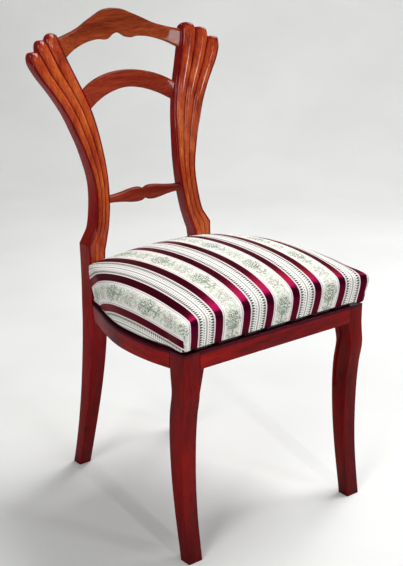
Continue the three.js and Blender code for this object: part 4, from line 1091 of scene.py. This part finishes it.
# %% Beech and steel
def planed_beech(name):
    material, tree = new_material(name)
    place = add(tree, "ShaderNodeTexCoord").outputs["Object"]
    grain = add(tree, "ShaderNodeMapping", {"Vector": place, "Scale": (0.15, 1.0, 1.0)}).outputs[0]
    bands = add(tree, "ShaderNodeTexNoise", {"Vector": grain, "Scale": 90.0, "Detail": 4.0}).outputs["Fac"]
    flecks = add(tree, "ShaderNodeTexVoronoi", {"Vector": grain, "Scale": 700.0}).outputs["Distance"]
    colour = ramp(tree, bands, [(0.3, "#B98A55"), (0.7, "#DDB684")])
    fleck_mask = ramp(tree, flecks, [(0.12, 1.0), (0.2, 0.0)])
    colour = add(tree, "ShaderNodeMix", {0: calc(tree, "MULTIPLY", fleck_mask, 0.5), 6: colour,
                                         7: linear("#8B5E33")}, data_type="RGBA").outputs[2]
    bump = add(tree, "ShaderNodeBump", {"Height": bands, "Strength": 0.15, "Distance": 0.0005}).outputs[0]
    shader = add(tree, "ShaderNodeBsdfPrincipled", {"Base Color": colour, "Roughness": 0.6, "Normal": bump})
    finish_surface(tree, shader)
    return material


def dull_steel(name):
    material, tree = new_material(name)
    place = add(tree, "ShaderNodeTexCoord").outputs["Object"]
    marks = add(tree, "ShaderNodeTexNoise", {"Vector": place, "Scale": 500.0, "Detail": 3.0}).outputs["Fac"]
    colour = ramp(tree, marks, [(0.3, "#5E5A54"), (0.7, "#9A968E")])
    rough = calc(tree, "ADD", 0.3, calc(tree, "MULTIPLY", marks, 0.25))
    shader = add(tree, "ShaderNodeBsdfPrincipled", {"Base Color": colour, "Metallic": 1.0, "Roughness": rough})
    finish_surface(tree, shader)
    return material


beech = planed_beech("planed_beech")
steel = dull_steel("turned_mild_steel")
for name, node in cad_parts.items():
    material = beech if name.startswith(("corner_block", "slip_frame")) else steel
    if name.startswith(("corner_block", "slip_frame", "block_screw")):
        for slot in node.material_slots:
            slot.material = material
print("beech and steel set on the hidden pieces")

# %% [markdown]
# ## Tacks
# The black cloth is held by small steel tacks along its edge. They repeat along a path, so a Geometry Nodes tree
# sets them: it walks the edge, puts a point every 32 mm, and copies one domed tack head to each point.

# %% Tacks along the dust cloth
def tack_tree(radius, height, spacing):
    tree = bpy.data.node_groups.new("tacks_along_a_line", "GeometryNodeTree")
    tree.interface.new_socket("Line", in_out="INPUT", socket_type="NodeSocketGeometry")
    for title, value in (("Head radius", radius), ("Head height", height), ("Spacing", spacing)):
        socket = tree.interface.new_socket(title, in_out="INPUT", socket_type="NodeSocketFloat")
        socket.default_value = value
    material_in = tree.interface.new_socket("Metal", in_out="INPUT", socket_type="NodeSocketMaterial")
    tree.interface.new_socket("Tacks", in_out="OUTPUT", socket_type="NodeSocketGeometry")
    entry = add(tree, "NodeGroupInput").outputs
    line = add(tree, "GeometryNodeMeshToCurve", {"Mesh": entry["Line"]}).outputs[0]
    spots = add(tree, "GeometryNodeCurveToPoints", {"Curve": line, "Length": entry["Spacing"]}, mode="LENGTH").outputs[0]
    head = add(tree, "GeometryNodeMeshUVSphere", {"Segments": 12, "Rings": 8, "Radius": entry["Head radius"]}).outputs[0]
    flat = calc(tree, "DIVIDE", entry["Head height"], entry["Head radius"])
    scale = add(tree, "ShaderNodeCombineXYZ", {0: 1.0, 1: 1.0, 2: flat}).outputs[0]
    head = add(tree, "GeometryNodeTransform", {"Geometry": head, "Scale": scale}).outputs[0]
    copies = add(tree, "GeometryNodeInstanceOnPoints", {"Points": spots, "Instance": head}).outputs[0]
    real = add(tree, "GeometryNodeRealizeInstances", {0: copies}).outputs[0]
    shaded = add(tree, "GeometryNodeSetMaterial", {"Geometry": real, "Material": entry["Metal"]}).outputs[0]
    out = add(tree, "NodeGroupOutput")
    tree.links.new(shaded, out.inputs[0])
    return tree, material_in.identifier


def tacks(name):
    bx, by = border(X), border(Y)
    x, depth = plan_point(bx, by, COVER_INSET + 24, REAR_GAP + 24, 0)
    edge = seat_point(x, depth, np.full_like(x, FRAME_BOTTOM - 1.15))
    count = len(edge)
    line = new_object("tack_line", edge, [], steel)
    mesh = bpy.data.meshes.new("tack_line_edges")
    moved = edge.copy()
    moved[:, 1] += SHIFT_Y
    mesh.from_pydata((moved * MM).tolist(), [(k, (k + 1) % count) for k in range(count)], [])
    line.data = mesh
    tree, metal = tack_tree(2.4 * MM, 0.9 * MM, 32 * MM)
    row = line.modifiers.new("tacks", "NODES")
    row.node_group = tree
    row[metal] = steel
    result = bpy.data.meshes.new_from_object(line.evaluated_get(bpy.context.evaluated_depsgraph_get()))
    bpy.data.objects.remove(line)
    piece = bpy.data.objects.new(name, result)
    bpy.context.scene.collection.objects.link(piece)
    for polygon in piece.data.polygons:
        polygon.use_smooth = True
    return piece


tack_row = tacks("dust_cloth_tacks")
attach(tack_row, "drop_in_seat")
print("tacks:", len(tack_row.data.vertices), "points")

# %% [markdown]
# ## Camera, floor and light
# The camera stands where the photographer stood, found from the chair's own straight lines. It looks down a
# little and from the front left. The floor is plain and pale, and the light is a large soft window on the left,
# a weaker one on the right, and an even pale room.

# %% Camera
camera_data = bpy.data.cameras.new("photo_camera")
camera_data.sensor_width = 36.0
camera_data.lens = 74.78
camera_data.shift_x = -0.0068
camera_data.shift_y = 0.0022
camera_data.clip_end = 50
camera = bpy.data.objects.new("photo_camera", camera_data)
camera.location = (-1309.49 * MM, (-1595.41 + SHIFT_Y) * MM, 1108.33 * MM)
camera.rotation_euler = (math.radians(90 - 18.4257), 0, math.radians(-39.0006))
bpy.context.scene.collection.objects.link(camera)
bpy.context.scene.camera = camera

# %% Floor and backdrop
def pale_ground(name, colour, seen):
    """A matt floor that looks nearly white to the camera but lights the chair at a plain level."""
    material, tree = new_material(name)
    place = add(tree, "ShaderNodeTexCoord").outputs["Object"]
    grain = add(tree, "ShaderNodeTexNoise", {"Vector": place, "Scale": 3.0, "Detail": 2.0}).outputs["Fac"]
    tint = ramp(tree, grain, [(0.3, colour), (0.7, seen)])
    shader = add(tree, "ShaderNodeBsdfPrincipled", {"Base Color": tint, "Roughness": 0.7})
    finish_surface(tree, shader)
    return material


def backdrop():
    """A floor that sweeps up into a wall well behind the chair."""
    profile = [(-6.0, 0.0), (2.2, 0.0)]
    profile += [(2.2 + 1.2 * math.sin(a), 1.2 - 1.2 * math.cos(a)) for a in np.linspace(0.1, math.pi / 2, 12)]
    profile += [(3.4, 6.0)]
    mesh = bpy.data.meshes.new("studio_sweep")
    turn = math.radians(-39.0)
    points = []
    for x in (-9.0, 9.0):
        for away, up in profile:
            points.append((x * math.cos(turn) - away * math.sin(turn), x * math.sin(turn) + away * math.cos(turn), up))
    count = len(profile)
    mesh.from_pydata(points, [], [(k, k + count, k + count + 1, k + 1) for k in range(count - 1)])
    for polygon in mesh.polygons:
        polygon.use_smooth = True
    mesh.materials.append(pale_ground("matt_studio_paper", "#E6E6E4", "#ECECEA"))
    sweep = bpy.data.objects.new("studio_sweep", mesh)
    bpy.context.scene.collection.objects.link(sweep)
    return sweep


sweep = backdrop()

# %% Lights
def soft_window(name, place, target, width, height, power, tint=(1.0, 1.0, 1.0)):
    data = bpy.data.lights.new(name, "AREA")
    data.shape = "RECTANGLE"
    data.size = width
    data.size_y = height
    data.energy = power
    data.color = tint
    lamp = bpy.data.objects.new(name, data)
    lamp.location = place
    lamp.rotation_euler = (Vector(target) - Vector(place)).to_track_quat("-Z", "Y").to_euler()
    bpy.context.scene.collection.objects.link(lamp)
    return lamp


soft_window("window_left", (-2.7, -1.3, 2.4), (0, 0, 0.45), 1.1, 1.7, 43)
soft_window("window_front_right", (1.1, -2.88, 2.15), (0.1, 0.2, 0.85), 0.36, 0.42, 11, (0.82, 0.93, 1.0))
soft_window("window_front_left", (-0.6, -3.1, 1.9), (0.15, 0.2, 0.7), 0.08, 1.8, 16)
soft_window("skylight", (1.65, 0.0, 2.8), (0, 0, 0.4), 1.7, 1.7, 90)
world = bpy.data.worlds.new("pale_room")
world.use_nodes = True
world.node_tree.nodes["Background"].inputs["Color"].default_value = linear("#F2F4F4")
world.node_tree.nodes["Background"].inputs["Strength"].default_value = 0.24
bpy.context.scene.world = world
bpy.context.scene.view_settings.view_transform = "Standard"
